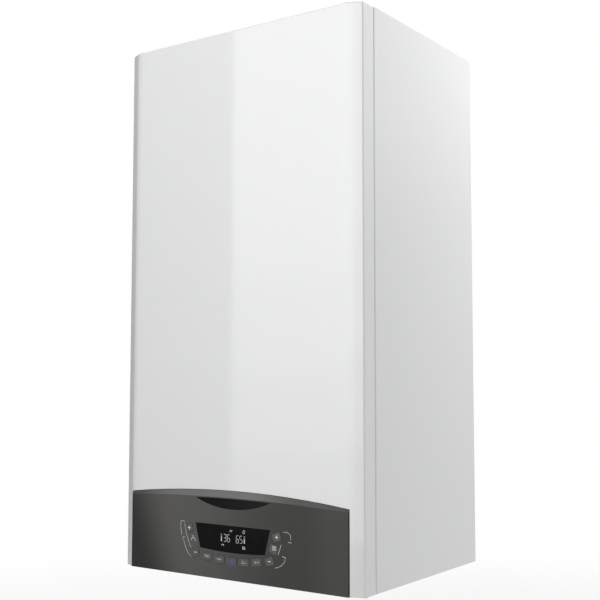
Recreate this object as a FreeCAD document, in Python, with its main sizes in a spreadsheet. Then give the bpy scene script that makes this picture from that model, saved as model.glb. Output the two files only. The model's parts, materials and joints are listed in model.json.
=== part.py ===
import FreeCAD, Part
import math
import os
import Sketcher

# Wall-hung gas boiler. Millimetres, +Z up, front faces -Y, wall plane at y = 0.
# The origin is the middle of the two wall screws of the hanging bracket.

SIZES = {
    # casing
    "case_width": 400, "case_height": 745, "case_depth": 319, "sheet": 1.2, "bevel_width": 17,
    "bevel_depth": 8, "return_depth": 25, "seam_gap": 1.6, "fold_radius": 2.5, "side_flange": 14,
    "top_lip": 15, "hang_drop": 55, "rear_gap": 12, "rear_lip": 16, "tongue_half": 120,
    "tongue_reach": 12, "slip_gap": 0.3, "overrun": 5, "window_half": 120, "window_low": 60,
    "window_high": 230, "window_round": 12,
    # hanging bracket
    "screw_spread": 240, "screw_hole": 4.5, "bracket_margin": 40, "bracket_height": 40,
    "bracket_plate": 2, "hook_spread": 190, "hook_width": 40, "hook_rise": 12,
    # control panel
    "fascia_proud": 2, "fascia_gap": 0.6, "fascia_depth": 16, "fascia_wall": 2.5, "front_wall": 3,
    "fascia_end": 105.5, "fascia_rise": 10.9, "face_end": 102, "face_rise": 5.5, "face_inset": 0.6,
    "hinge_back": 19, "hinge_up": 12, "swing_gap": 2, "box_margin": 40, "box_low": 4,
    "box_depth": 58, "box_wall": 2, "box_rim": 10, "rim_depth": 3, "fascia_boss": 4, "boss_in": 30,
    "boss_edge": 5, "vent_slots": 9, "vent_width": 4, "vent_height": 30, "vent_pitch": 14,
    "badge_half": 63.5, "badge_level": 105.2, "badge_rise": 1, "badge_drop": 12.7, "badge_thick": 1,
    "lens_half": 63, "lens_top": 71, "lens_low_half": 54.5, "lens_low": 38.5, "lens_sag": 2.5,
    "lens_thick": 2, "lens_ledge": 3, "inset_gap": 0.15, "key_width": 16.5, "key_height": 10,
    "key_round": 2, "key_pitch": 20.8, "key_row_low": 24.8, "key_row_radius": 277,
    "side_key_width": 13, "side_key_height": 11, "side_key_lean": 18.8, "plus_out": 74,
    "plus_up": 63, "minus_out": 62.6, "minus_up": 31.2, "key_gap": 0.3, "key_proud": 0.5,
    "key_flange": 1.2, "flange_gap": 0.05, "key_travel": 0.8, "plunger_radius": 2.5, "plunger_length": 1.3,
    "switch_gap": 0.15, "switch_height": 1.5, "switch_half": 3, "board_thick": 1.6,
    "board_half": 95, "board_low": 12, "board_high": 80, "post_radius": 3, "post_in": 7,
    "cell_half": 48, "cell_low": 42, "cell_high": 68, "main_margin": 20, "main_edge": 8,
    "standoff": 6, "transformer_width": 45, "transformer_height": 38, "transformer_depth": 30,
    "relay_width": 16, "relay_height": 26, "relay_depth": 18, "relay_pitch": 24,
    "capacitor_radius": 8, "capacitor_length": 28,
    # panel hinge and cover screws
    "pin_radius": 3, "pin_gap": 0.08, "pin_seat": 8, "pin_head": 5, "pin_head_thick": 1.5,
    "eye_radius": 7, "pin_boss": 6, "hinge_gap": 1, "hinge_plate": 2, "tab_low": 24, "tab_high": 60,
    "tab_in": 3, "foot_tab_in": 14, "foot_tab_reach": 24, "cover_screw": 2, "cover_screw_head": 4.5,
    "cover_screw_cap": 2.4, "cover_screw_tail": 4, "screw_slot": 2.5, "screw_set_in": 8.5,
    "screw_set_back": 12,
    # flue and air
    "flue_in": 34.8, "flue_radius": 30, "flue_wall": 1.5, "flue_fit": 0.25, "collar_radius": 50,
    "collar_wall": 2, "collar_height": 22, "collar_drop": 14, "collar_flange": 66,
    "collar_plate": 3, "collar_rib": 2, "collar_rib_height": 8, "bell_rise": 10, "cap_spread": 236,
    "cap_radius": 44, "cap_thick": 3, "cap_plug": 37, "cap_plug_depth": 6, "cap_wall": 2.5,
    "cap_grip": 12,
    # fan, mixer and burner feed
    "fan_radius": 60, "fan_share": 0.1442, "fan_wall": 3, "fan_up": 540, "wall_gap": 6,
    "fan_front_gap": 10, "fan_motor_share": 0.1128, "fan_motor_radius": 40, "fan_round": 5,
    "outlet_low": 18, "outlet_high": 56, "fan_inlet": 24, "wheel_radius": 48, "wheel_disc": 2,
    "wheel_hub": 11, "wheel_eye": 26, "wheel_blade": 1.6, "wheel_height": 26, "wheel_lean": 25,
    "fan_blades": 16, "shaft_radius": 4, "shaft_gap": 0.08, "shaft_in": 20, "wheel_clear": 3,
    "mixer_radius": 28, "mixer_length": 60, "mixer_port": 20, "mixer_port_back": 34,
    "mixer_port_rise": 12, "gas_spigot": 9, "gas_spigot_drop": 14, "silencer_width": 84,
    "silencer_depth": 66, "silencer_height": 118, "silencer_round": 10, "silencer_wall": 2.5,
    "silencer_mouth": 18,
    # heat exchanger
    "fan_gap": 10, "right_gap": 30, "exchanger_up": 500, "shell_wall": 4, "shell_rib": 3,
    "shell_rib_width": 4, "shell_ribs": 4, "vessel_gap": 10, "door_thick": 12, "neck_radius": 40,
    "neck_height": 6, "duct_radius": 46, "duct_wall": 3, "duct_top_angle": 66,
    "duct_low_angle": 227, "coil_tube": 8, "coil_pitch": 21, "coil_gap": 0.5, "burner_radius": 35,
    "burner_wall": 1.5, "burner_end_gap": 14, "burner_flange": 44, "burner_flange_thick": 2,
    "stub_spread": 45, "stub_radius": 14, "stub_low": 350, "drain_radius": 12, "drain_in": 18.8,
    "socket_radius": 35, "socket_rise": 40, "socket_depth": 20, "foot_spread": 100,
    "foot_width": 30, "foot_depth": 14, "foot_drop": 4, "shelf_depth": 26, "shelf_web": 32,
    "electrode_out": 62, "electrode_plate": 24, "electrode_height": 14, "electrode_thick": 2,
    "electrode_rod": 4, "electrode_front": 18, "electrode_in": 30,
    # expansion vessel
    "vessel_radius": 160, "vessel_share": 0.1945, "vessel_up": 545, "vessel_rim": 4,
    "vessel_rim_width": 3, "nipple_radius": 7, "nipple_drop": 12,
    # water and gas works
    "plate_up": 20, "union_out": 120, "union_pitch": 65, "thread_big": 13.2, "thread_small": 10.5,
    "thread_drop": 28, "hex_margin": 4, "hex_height": 12, "union_bore": 7, "spigot_margin": 1.5,
    "hole_gap": 0.5, "block_radius": 17, "block_small": 14, "block_high": 112,
    "block_small_high": 96, "bridge_up": 60, "bridge_radius": 13, "arm_radius": 9, "arm_up": 84,
    "arm_in": 95, "plates_half": 110, "plates_low": 42, "plates_high": 110, "plates_front": 70,
    "plates_thick": 44, "plate_count": 9, "plate_edge": 2, "plate_thick": 2.5, "pump_radius": 44,
    "pump_depth": 50, "pump_wall": 5, "pump_up": 166, "pump_spigot": 16, "pump_rise": 14,
    "pump_motor_radius": 42, "pump_motor_gap": 5, "pump_box_height": 26, "pump_box_width": 60,
    "pump_box_depth": 50, "pump_wheel": 30, "pump_blades": 6, "pump_wheel_height": 10,
    "pump_eye": 12, "pump_plug": 9, "pump_plug_thick": 3, "water_pipe": 9, "gas_pipe": 8,
    "thin_pipe": 5, "pipe_bend": 26, "pipe_level": 322, "return_level": 292, "valve_x": 20,
    "valve_out": 178, "valve_low": 240, "valve_width": 70, "valve_depth": 56, "valve_height": 78,
    "valve_flange": 15, "valve_neck": 10, "coil_radius": 17, "coil_length": 22, "coil_inset": 18,
    "gas_run": 365, "gas_turn": 130, "neck_front": 160, "diverter_up": 86, "diverter_neck": 15,
    "yoke_gap": 12, "yoke_post": 3, "yoke_spread": 22, "actuator_width": 46, "actuator_height": 56,
    "actuator_depth": 44, "actuator_round": 5, "spindle_radius": 4, "spindle_in": 16,
    "spindle_travel": 6, "tap_out": 152, "tap_radius": 10, "tap_low": 30, "tap_high": 72,
    "tap_stem": 4, "tap_knob": 11, "tap_knob_low": 6, "tap_knob_height": 14, "grip_cuts": 8,
    "grip_cut": 2, "relief_up": 74, "relief_radius": 12, "relief_length": 34,
    "relief_knob_radius": 13, "relief_knob_depth": 14, "relief_stem": 4, "relief_drain": 8,
    "relief_drain_drop": 8, "siphon_radius": 26, "siphon_low": 120, "siphon_high": 212,
    "siphon_neck": 236, "siphon_spigot": 11, "siphon_drop": 20, "siphon_rim": 3,
    "siphon_rim_height": 8, "hose_wall": 2.5, "hose_fit": 0.2, "hose_lap": 14, "expansion_run": 250,
    "expansion_turn": 150,
}

doc = FreeCAD.newDocument("gas_boiler")
sheet = doc.addObject("Spreadsheet::Sheet", "sizes")
for row, (alias, number) in enumerate(SIZES.items(), start=1):
    sheet.set(f"A{row}", alias)
    sheet.set(f"B{row}", str(number))
    sheet.setAlias(f"B{row}", alias)
doc.recompute()


class Size:
    """A length as the sheet expression that gives it, with its present value."""

    def __init__(self, text, value):
        self.text = text
        self.value = value

    def __add__(self, other):
        other = as_size(other)
        return Size(f"({self.text} + {other.text})", self.value + other.value)

    def __sub__(self, other):
        other = as_size(other)
        return Size(f"({self.text} - {other.text})", self.value - other.value)

    def __mul__(self, other):
        other = as_size(other)
        return Size(f"({self.text} * {other.text})", self.value * other.value)

    def __truediv__(self, other):
        other = as_size(other)
        return Size(f"({self.text} / {other.text})", self.value / other.value)

    def __neg__(self):
        return Size(f"(-{self.text})", -self.value)

    def __rsub__(self, other):
        return as_size(other) - self

    def __rmul__(self, other):
        return self * other

    def root(self):
        return Size(f"sqrt({self.text})", math.sqrt(self.value))

    def sine(self):
        return Size(f"sin({self.text})", math.sin(math.radians(self.value)))

    def cosine(self):
        return Size(f"cos({self.text})", math.cos(math.radians(self.value)))


class Sizes:
    """Every cell of the sheet, by its alias."""

    def __getattr__(self, alias):
        return Size(f"sizes.{alias}", float(sheet.get(alias)))


def as_size(number):
    return number if isinstance(number, Size) else Size(str(number), float(number))


S = Sizes()
AXES = "xyz"
TURNS = {
    "x": FreeCAD.Rotation(FreeCAD.Vector(0, 1, 0), 90),
    "y": FreeCAD.Rotation(FreeCAD.Vector(1, 0, 0), -90),
    "z": FreeCAD.Rotation(),
}
nodes = []


def bind(thing, prop, size):
    thing.setExpression(prop, as_size(size).text)


def node(thing, label):
    """Names a finished sub-part, which is then written under that name."""
    thing.Label = label
    nodes.append(thing)
    return thing


def block(across, deep, tall):
    """A box from its low and high sides along x, y and z."""
    box = doc.addObject("Part::Box", "block")
    for prop, axis, (low, high) in zip(("Length", "Width", "Height"), AXES, (across, deep, tall)):
        bind(box, prop, as_size(high) - low)
        bind(box, f"Placement.Base.{axis}", low)
    return box


def rod(axis, start, radius, length):
    """A round bar from its start along +x, +y or +z."""
    bar = doc.addObject("Part::Cylinder", "rod")
    bar.Placement = FreeCAD.Placement(FreeCAD.Vector(), TURNS[axis])
    for name, place in zip(AXES, start):
        bind(bar, f"Placement.Base.{name}", place)
    bind(bar, "Radius", radius)
    bind(bar, "Height", length)
    return bar


def hexagon(start, radius, length):
    """A six-sided bar standing on its start."""
    bar = doc.addObject("Part::Prism", "hexagon")
    bar.Polygon = 6
    for name, place in zip(AXES, start):
        bind(bar, f"Placement.Base.{name}", place)
    bind(bar, "Circumradius", radius)
    bind(bar, "Height", length)
    return bar


def fuse(*pieces):
    whole = doc.addObject("Part::MultiFuse", "fuse")
    whole.Shapes = list(pieces)
    whole.Refine = True
    return whole


def cut(base, *tools):
    rest = doc.addObject("Part::Cut", "cut")
    rest.Base = base
    rest.Tool = tools[0] if len(tools) == 1 else fuse(*tools)
    rest.Refine = True
    return rest


def group(*pieces):
    """Separate solids that share one node."""
    several = doc.addObject("Part::Compound", "group")
    several.Links = list(pieces)
    return several


def new_body():
    return doc.addObject("PartDesign::Body", "body")


def arc_radius(half_chord, rise):
    return (half_chord * half_chord + rise * rise) / (rise * 2)


def arc_through(start, end, radius):
    """The short arc between two points, centre to the left of travel for a positive radius."""
    chord = end - start
    reach = abs(radius)
    height = math.sqrt(max(reach * reach - chord.Length * chord.Length / 4, 0))
    left = FreeCAD.Vector(-chord.y, chord.x, 0).normalize()
    side = 1 if radius > 0 else -1
    middle = (start + end) / 2 - left * (side * (reach - height))
    return Part.Arc(start, middle, end)


def draw_loop(drawing, loop):
    """A closed outline of (u, v) corners; a third value makes the side that starts there an arc."""
    points = [FreeCAD.Vector(as_size(c[0]).value, as_size(c[1]).value, 0) for c in loop]
    first = drawing.GeometryCount
    flips = []
    for i, corner in enumerate(loop):
        start, end = points[i], points[(i + 1) % len(points)]
        if len(corner) == 2:
            drawing.addGeometry(Part.LineSegment(start, end))
            flips.append(False)
        else:
            drawing.addGeometry(arc_through(start, end, corner[2].value))
            flips.append(corner[2].value < 0)
    for i, corner in enumerate(loop):
        after = (i + 1) % len(loop)
        here, there = first + i, first + after
        tail = 1 if flips[i] else 2
        head = 2 if flips[after] else 1
        drawing.addConstraint(Sketcher.Constraint("Coincident", here, tail, there, head))
        own = 2 if flips[i] else 1
        for kind, place in (("DistanceX", corner[0]), ("DistanceY", corner[1])):
            place = as_size(place)
            index = drawing.addConstraint(Sketcher.Constraint(kind, -1, 1, here, own, place.value))
            bind(drawing, f"Constraints[{index}]", place)
        if len(corner) == 3:
            radius = corner[2] if corner[2].value > 0 else -corner[2]
            index = drawing.addConstraint(Sketcher.Constraint("Radius", here, radius.value))
            bind(drawing, f"Constraints[{index}]", radius)


def draw_circle(drawing, u, v, radius):
    u, v, radius = as_size(u), as_size(v), as_size(radius)
    centre = FreeCAD.Vector(u.value, v.value, 0)
    index = drawing.addGeometry(Part.Circle(centre, FreeCAD.Vector(0, 0, 1), radius.value))
    for kind, place in (("DistanceX", u), ("DistanceY", v)):
        number = drawing.addConstraint(Sketcher.Constraint(kind, -1, 1, index, 3, place.value))
        bind(drawing, f"Constraints[{number}]", place)
    number = drawing.addConstraint(Sketcher.Constraint("Radius", index, radius.value))
    bind(drawing, f"Constraints[{number}]", radius)


def sketch(body, plane, at, loops=(), circles=(), turn=None):
    """A drawing on one of the body's planes, moved by (along u, along v, out of the plane)."""
    drawing = body.newObject("Sketcher::SketchObject", "sketch")
    support = [f for f in body.Origin.OriginFeatures if f.Role == f"{plane}_Plane"][0]
    drawing.AttachmentSupport = [(support, "")]
    drawing.MapMode = "FlatFace"
    for axis, place in zip(AXES, at):
        bind(drawing, f"AttachmentOffset.Base.{axis}", place)
    if turn is not None:
        drawing.AttachmentOffset = FreeCAD.Placement(FreeCAD.Vector(), FreeCAD.Rotation(turn.value, 0, 0))
        bind(drawing, "AttachmentOffset.Rotation.Angle", turn)
    for loop in loops:
        draw_loop(drawing, loop)
    for u, v, radius in circles:
        draw_circle(drawing, u, v, radius)
    return drawing


def pad(body, drawing, length, backward=False):
    return extrude(body, "PartDesign::Pad", drawing, length, backward)


def pocket(body, drawing, length, backward=False):
    before = body.Shape.Volume
    feature = extrude(body, "PartDesign::Pocket", drawing, length, backward)
    if body.Shape.Volume >= before:
        raise RuntimeError(f"{body.Name}: a pocket removed nothing")
    return feature


def extrude(body, kind, drawing, length, backward):
    feature = body.newObject(kind, "feature")
    feature.Profile = drawing
    bind(feature, "Length", length)
    feature.Reversed = backward
    doc.recompute()
    return feature


def revolve(body, drawing):
    feature = body.newObject("PartDesign::Revolution", "turned")
    feature.Profile = drawing
    feature.ReferenceAxis = (drawing, ["V_Axis"])
    feature.Angle = 360
    doc.recompute()
    return feature


def round_edges(body, radius, chosen):
    """Rounds the edges of the body's last feature whose middle and direction are chosen."""
    base = body.Tip
    names = []
    for number, edge in enumerate(base.Shape.Edges, start=1):
        middle = edge.valueAt((edge.FirstParameter + edge.LastParameter) / 2)
        if chosen(edge, middle):
            names.append(f"Edge{number}")
    feature = body.newObject("PartDesign::Fillet", "rounded")
    feature.Base = (base, names)
    bind(feature, "Radius", radius)
    doc.recompute()
    return feature


def polar(body, feature, drawing, count):
    pattern = body.newObject("PartDesign::PolarPattern", "pattern")
    pattern.Originals = [feature]
    pattern.Axis = (drawing, ["N_Axis"])
    pattern.Angle = 360
    bind(pattern, "Occurrences", count)
    body.Tip = pattern
    doc.recompute()
    return pattern


def rounded(low_u, low_v, high_u, high_v, radius):
    """A rectangle with round corners."""
    return [
        (low_u + radius, low_v), (high_u - radius, low_v, radius),
        (high_u, low_v + radius), (high_u, high_v - radius, radius),
        (high_u - radius, high_v), (low_u + radius, high_v, radius),
        (low_u, high_v - radius), (low_u, low_v + radius, radius),
    ]


def pipe(label, route, radius, bend):
    """A round pipe along straight runs joined by tangent arcs."""
    points = [FreeCAD.Vector(*(as_size(c).value for c in point)) for point in route]
    edges = []
    start = points[0]
    for before, corner, after in zip(points, points[1:], points[2:]):
        back = (before - corner).normalize()
        ahead = (after - corner).normalize()
        half_turn = (math.pi - back.getAngle(ahead)) / 2
        reach = bend.value * math.tan(half_turn)
        first, last = corner + back * reach, corner + ahead * reach
        inward = (back + ahead).normalize()
        middle = corner + inward * (bend.value / math.cos(half_turn) - bend.value)
        edges.append(Part.LineSegment(start, first).toShape())
        edges.append(Part.Arc(first, middle, last).toShape())
        start = last
    edges.append(Part.LineSegment(start, points[-1]).toShape())
    path = Part.Wire(edges)
    section = Part.Wire([Part.Circle(points[0], points[1] - points[0], radius.value).toShape()])
    solid = doc.addObject("Part::Feature", "pipe")
    solid.Shape = path.makePipeShell([section], True, False)
    solid.Placement = FreeCAD.Placement()
    if label:
        node(solid, label)
    return solid


# Planes and places that several pieces share
HALF = S.case_width / 2
INNER = HALF - S.sheet
TOP = S.hang_drop
BASE = S.hang_drop - S.case_height
FACE = -S.case_depth
FRONT = FACE + S.fascia_proud
SEAM = FRONT + S.bevel_depth + S.return_depth
PANEL_FRONT = SEAM + S.seam_gap
REAR_FRONT = -(S.rear_gap + S.sheet)
OPENING = HALF - S.bevel_width
FASCIA_HALF = OPENING - S.fascia_gap
FASCIA_BACK = FACE + S.fascia_depth
HINGE_Y = FACE + S.hinge_back
HINGE_Z = BASE + S.hinge_up
BOX_REAR = HINGE_Y + S.box_depth
SWING = S.fascia_end - S.hinge_up - S.swing_gap
BOX_TOP = HINGE_Z + (SWING * SWING - S.box_depth * S.box_depth).root()
BOX_LOW = BASE + S.box_low
PLATE_TOP = BASE + S.plate_up + S.sheet
BRACKET_HALF = HALF - S.bracket_margin
BOX_HALF = HALF - S.box_margin
MAIN_HALF = BOX_HALF - S.main_margin
ARM_X = BOX_HALF + S.hinge_gap
UNION_Y = -S.union_out
VESSEL_THICK = S.case_depth * S.vessel_share
FAN_DEPTH = S.case_depth * S.fan_share
FAN_MOTOR_LENGTH = S.case_depth * S.fan_motor_share
VESSEL_FRONT = REAR_FRONT - VESSEL_THICK
MOTOR_FRONT = FRONT + S.sheet + S.fan_front_gap
FAN_FRONT = MOTOR_FRONT + FAN_MOTOR_LENGTH
FAN_BACK = FAN_FRONT + FAN_DEPTH
FAN_X = S.wall_gap + S.fan_radius - INNER
FAN_Z = BASE + S.fan_up
SHELL = INNER - (S.wall_gap + S.fan_gap + S.right_gap) / 2 - S.fan_radius
SHELL_X = FAN_X + S.fan_radius + S.fan_gap + SHELL
SHELL_Z = BASE + S.exchanger_up
DOOR_FRONT = FAN_BACK + S.neck_height - S.fan_wall
SHELL_FRONT = DOOR_FRONT + S.door_thick
SHELL_BACK = VESSEL_FRONT - S.vessel_gap
FLUE_Y = SHELL_BACK - S.flue_in
DRAIN_Y = SHELL_FRONT + S.drain_in
SHELL_BARREL = SHELL - S.shell_rib
SHELF_TOP = SHELL_Z - SHELL - S.foot_drop
STUB_LOW = BASE + S.stub_low
VALVE_Y = -S.valve_out
VALVE_LOW = BASE + S.valve_low
VALVE_TOP = VALVE_LOW + S.valve_height
PUMP_X = S.union_pitch * 2
PUMP_Z = BASE + S.pump_up
PUMP_FRONT = UNION_Y - S.pump_depth / 2
PUMP_MOTOR_FRONT = BOX_REAR + S.pump_motor_gap
BLOCK_TOP = BASE + S.block_high


def folded_panel(side, label):
    """A side sheet with its front edge folded inwards; side is 1 for right and -1 for left."""
    body = new_body()
    outline = [
        (HALF * side, 0), (HALF * side, PANEL_FRONT), ((HALF - S.side_flange) * side, PANEL_FRONT),
        ((HALF - S.side_flange) * side, PANEL_FRONT + S.sheet), (INNER * side, PANEL_FRONT + S.sheet),
        (INNER * side, 0),
    ]
    pad(body, sketch(body, "XY", (0, 0, BASE), [outline]), S.case_height)
    round_edges(body, S.fold_radius, lambda edge, mid: math.dist(
        (mid.x, mid.y), (HALF.value * side, PANEL_FRONT.value)) < S.sheet.value / 2)
    node(body, label)


def make_rear_frame():
    """A shallow pan: a plate off the wall, side walls and two lips that lie on the wall."""
    body = new_body()
    lip = INNER - S.rear_lip
    outline = [
        (INNER, 0), (INNER, REAR_FRONT), (-INNER, REAR_FRONT), (-INNER, 0), (-lip, 0), (-lip, -S.sheet),
        (S.sheet - INNER, -S.sheet), (S.sheet - INNER, -S.rear_gap), (INNER - S.sheet, -S.rear_gap),
        (INNER - S.sheet, -S.sheet), (lip, -S.sheet), (lip, 0),
    ]
    pad(body, sketch(body, "XY", (0, 0, BASE), [outline]), S.case_height)
    hook_top = S.bracket_height / 2
    openings = [rounded(-S.window_half, BASE + S.window_low, S.window_half, BASE + S.window_high,
                        S.window_round)]
    for side in (-1, 1):
        middle = S.hook_spread / 2 * side
        reach = S.hook_width / 2 + S.slip_gap
        low = hook_top - S.hook_rise
        openings.append([(middle - reach, low), (middle + reach, low), (middle + reach, hook_top),
                         (middle - reach, hook_top)])
    pocket(body, sketch(body, "XZ", (0, 0, -REAR_FRONT), openings), S.sheet)
    node(body, "rear_frame")


def make_hanging_bracket():
    """A wall strip with two hooks that the frame's slots drop over."""
    high = S.bracket_height / 2
    strip = block((-BRACKET_HALF, BRACKET_HALF), (-S.bracket_plate, 0), (-high, high))
    hooks = []
    holes = []
    front = REAR_FRONT - S.slip_gap
    for side in (-1, 1):
        middle = S.hook_spread / 2 * side
        across = (middle - S.hook_width / 2, middle + S.hook_width / 2)
        hooks.append(block(across, (front - S.bracket_plate, 0), (high - S.bracket_plate, high)))
        hooks.append(block(across, (front - S.bracket_plate, front),
                           (high - S.bracket_plate, high + S.hook_rise)))
        holes.append(rod("y", (S.screw_spread / 2 * side, -S.overrun, 0), S.screw_hole, S.overrun * 2))
    node(cut(fuse(strip, *hooks), *holes), "hanging_bracket")


def make_top_panel():
    """A tray between the side sheets with a tongue that carries the cover's top edge."""
    body = new_body()
    inside = INNER - S.sheet
    outline = [
        (-INNER, TOP - S.top_lip), (-INNER, TOP), (INNER, TOP), (INNER, TOP - S.top_lip),
        (inside, TOP - S.top_lip), (inside, TOP - S.sheet), (-inside, TOP - S.sheet),
        (-inside, TOP - S.top_lip),
    ]
    front = PANEL_FRONT + S.sheet
    pad(body, sketch(body, "XZ", (0, 0, -REAR_FRONT), [outline]), REAR_FRONT - front)
    under = TOP - S.sheet - S.slip_gap
    tongue = [
        (front, TOP - S.sheet), (front, under), (SEAM - S.tongue_reach, under),
        (SEAM - S.tongue_reach, under - S.sheet), (front + S.sheet, under - S.sheet),
        (front + S.sheet, TOP - S.sheet),
    ]
    pad(body, sketch(body, "YZ", (0, 0, -S.tongue_half), [tongue]), S.tongue_half * 2)
    holes = [(0, FLUE_Y, S.collar_radius)]
    for side in (-1, 1):
        holes.append((S.cap_spread / 2 * side, FLUE_Y, S.cap_plug + S.hole_gap))
    pocket(body, sketch(body, "XY", (0, 0, TOP), (), holes), S.sheet)
    node(body, "top_panel")


def make_bottom_plate():
    """A tray set up inside the casing's foot, holed for every pipe and knob."""
    body = new_body()
    low = BASE + S.plate_up
    high = low + S.top_lip
    inside = INNER - S.sheet
    outline = [
        (-INNER, low), (INNER, low), (INNER, high), (inside, high), (inside, low + S.sheet),
        (-inside, low + S.sheet), (-inside, high), (-INNER, high),
    ]
    drawing = sketch(body, "XZ", (0, 0, -REAR_FRONT), [outline])
    pad(body, drawing, REAR_FRONT - BOX_REAR - S.pump_motor_gap)
    spigot = S.union_bore + S.spigot_margin + S.hole_gap
    holes = [(S.union_pitch * place, UNION_Y, spigot) for place in (-2, -1, 0, 1, 2)]
    holes.append((SHELL_X, DRAIN_Y, S.siphon_spigot + S.siphon_rim + S.hole_gap))
    holes.append((TAP_X, TAP_Y, S.tap_knob + S.hole_gap))
    holes.append((PUMP_X, RELIEF_Y, S.relief_drain + S.hole_gap))
    pocket(body, sketch(body, "XY", (0, 0, low + S.sheet), (), holes), S.sheet)
    node(body, "bottom_plate")


def fascia_outline(half, low, end, rise, margin):
    """The arched outline of the control panel, moved outwards by a margin."""
    crown = arc_radius(half + margin, rise)
    return [
        (-half - margin, low), (half + margin, low), (half + margin, end + margin, crown),
        (-half - margin, end + margin),
    ]


def make_front_cover():
    """A deep-folded sheet: front, bevelled corners, returns, top and two feet beside the panel."""
    body = new_body()
    edge = HALF - S.bevel_width
    outline = [
        (-HALF, SEAM), (-HALF, FRONT + S.bevel_depth), (-edge, FRONT), (edge, FRONT),
        (HALF, FRONT + S.bevel_depth), (HALF, SEAM),
    ]
    pad(body, sketch(body, "XY", (0, 0, BASE), [outline]), S.case_height)
    round_edges(body, S.fold_radius, lambda e, m: mid_height(m) and m.y < SEAM.value - S.sheet.value)
    round_edges(body, S.fold_radius, lambda e, m: m.z > TOP.value - S.sheet.value / 2
                and m.y < SEAM.value - S.sheet.value / 2)
    slope = (S.bevel_width * S.bevel_width + S.bevel_depth * S.bevel_depth).root()
    inner_edge = edge - S.sheet * S.bevel_depth / (S.bevel_width + slope)
    inner_fold = FRONT + S.bevel_depth + S.sheet * S.bevel_width / (S.bevel_depth + slope)
    inside = [
        (-INNER, SEAM + S.overrun), (-INNER, inner_fold), (-inner_edge, FRONT + S.sheet),
        (inner_edge, FRONT + S.sheet), (INNER, inner_fold), (INNER, SEAM + S.overrun),
    ]
    pocket(body, sketch(body, "XY", (0, 0, TOP - S.sheet), [inside]), S.case_height - S.sheet * 2)
    low = BASE - S.overrun
    outline = fascia_outline(FASCIA_HALF, low, BASE + S.fascia_end, S.fascia_rise, S.fascia_gap)
    pocket(body, sketch(body, "XZ", (0, 0, S.overrun - FRONT), [outline]),
           S.bevel_depth + S.return_depth + S.overrun * 2)
    slots = []
    for side in (-1, 1):
        x = (HALF - S.screw_set_in) * side
        y = SEAM - S.screw_set_back
        r = S.screw_slot
        slots.append([(x - r, SEAM + S.overrun), (x - r, y, r), (x, y - r, r), (x + r, y),
                      (x + r, SEAM + S.overrun)])
    pocket(body, sketch(body, "XY", (0, 0, BASE), slots), S.sheet, True)
    node(body, "front_cover")


def mid_height(point):
    """True on an upright edge of the casing, whose middle is half way up."""
    return abs(point.z - (TOP.value + BASE.value) / 2) < S.sheet.value


def lens_outline(margin):
    """A trapezoid with a sagging lower edge, moved outwards by a margin."""
    low_half = S.lens_low_half + margin
    return [
        (-low_half, BASE + S.lens_low - margin, arc_radius(low_half, S.lens_sag)),
        (low_half, BASE + S.lens_low - margin), (S.lens_half + margin, BASE + S.lens_top + margin),
        (-S.lens_half - margin, BASE + S.lens_top + margin),
    ]


def badge_outline(margin):
    """A crescent between a flat arc and a deep one, moved outwards by a margin."""
    half = S.badge_half + margin * 2
    level = BASE + S.badge_level
    return [
        (-half, level, arc_radius(half, S.badge_drop + margin)),
        (half, level, arc_radius(half, S.badge_rise + margin)),
    ]


def key_places():
    """Name, centre, lean and half sizes of the nine keys."""
    wide, tall = S.key_width / 2, S.key_height / 2
    radius = S.key_row_radius
    row = ("mode_key", "comfort_key", "auto_key", "reset_key", "escape_key")
    places = []
    for name, place in zip(row, (-2, -1, 0, 1, 2)):
        x = S.key_pitch * place
        drop = (radius * radius - x * x).root()
        z = BASE + S.key_row_low + radius - drop
        lean = Size(f"asin(({x.text}) / {radius.text})", math.degrees(math.asin(x.value / radius.value)))
        places.append((name, x, z, lean, wide, tall))
    wide, tall = S.side_key_width / 2, S.side_key_height / 2
    for name, side in (("water", -1), ("heating", 1)):
        lean = -S.side_key_lean * side
        places.append((f"{name}_plus_key", S.plus_out * side, BASE + S.plus_up, lean, wide, tall))
        places.append((f"{name}_minus_key", S.minus_out * side, BASE + S.minus_up, lean, wide, tall))
    return places


WALL_BACK = FACE + S.front_wall
FLANGE_FRONT = WALL_BACK + S.flange_gap
SWITCH_FRONT = FLANGE_FRONT + S.key_flange + S.plunger_length + S.key_travel + S.switch_gap
BOARD_FRONT = SWITCH_FRONT + S.switch_height


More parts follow.
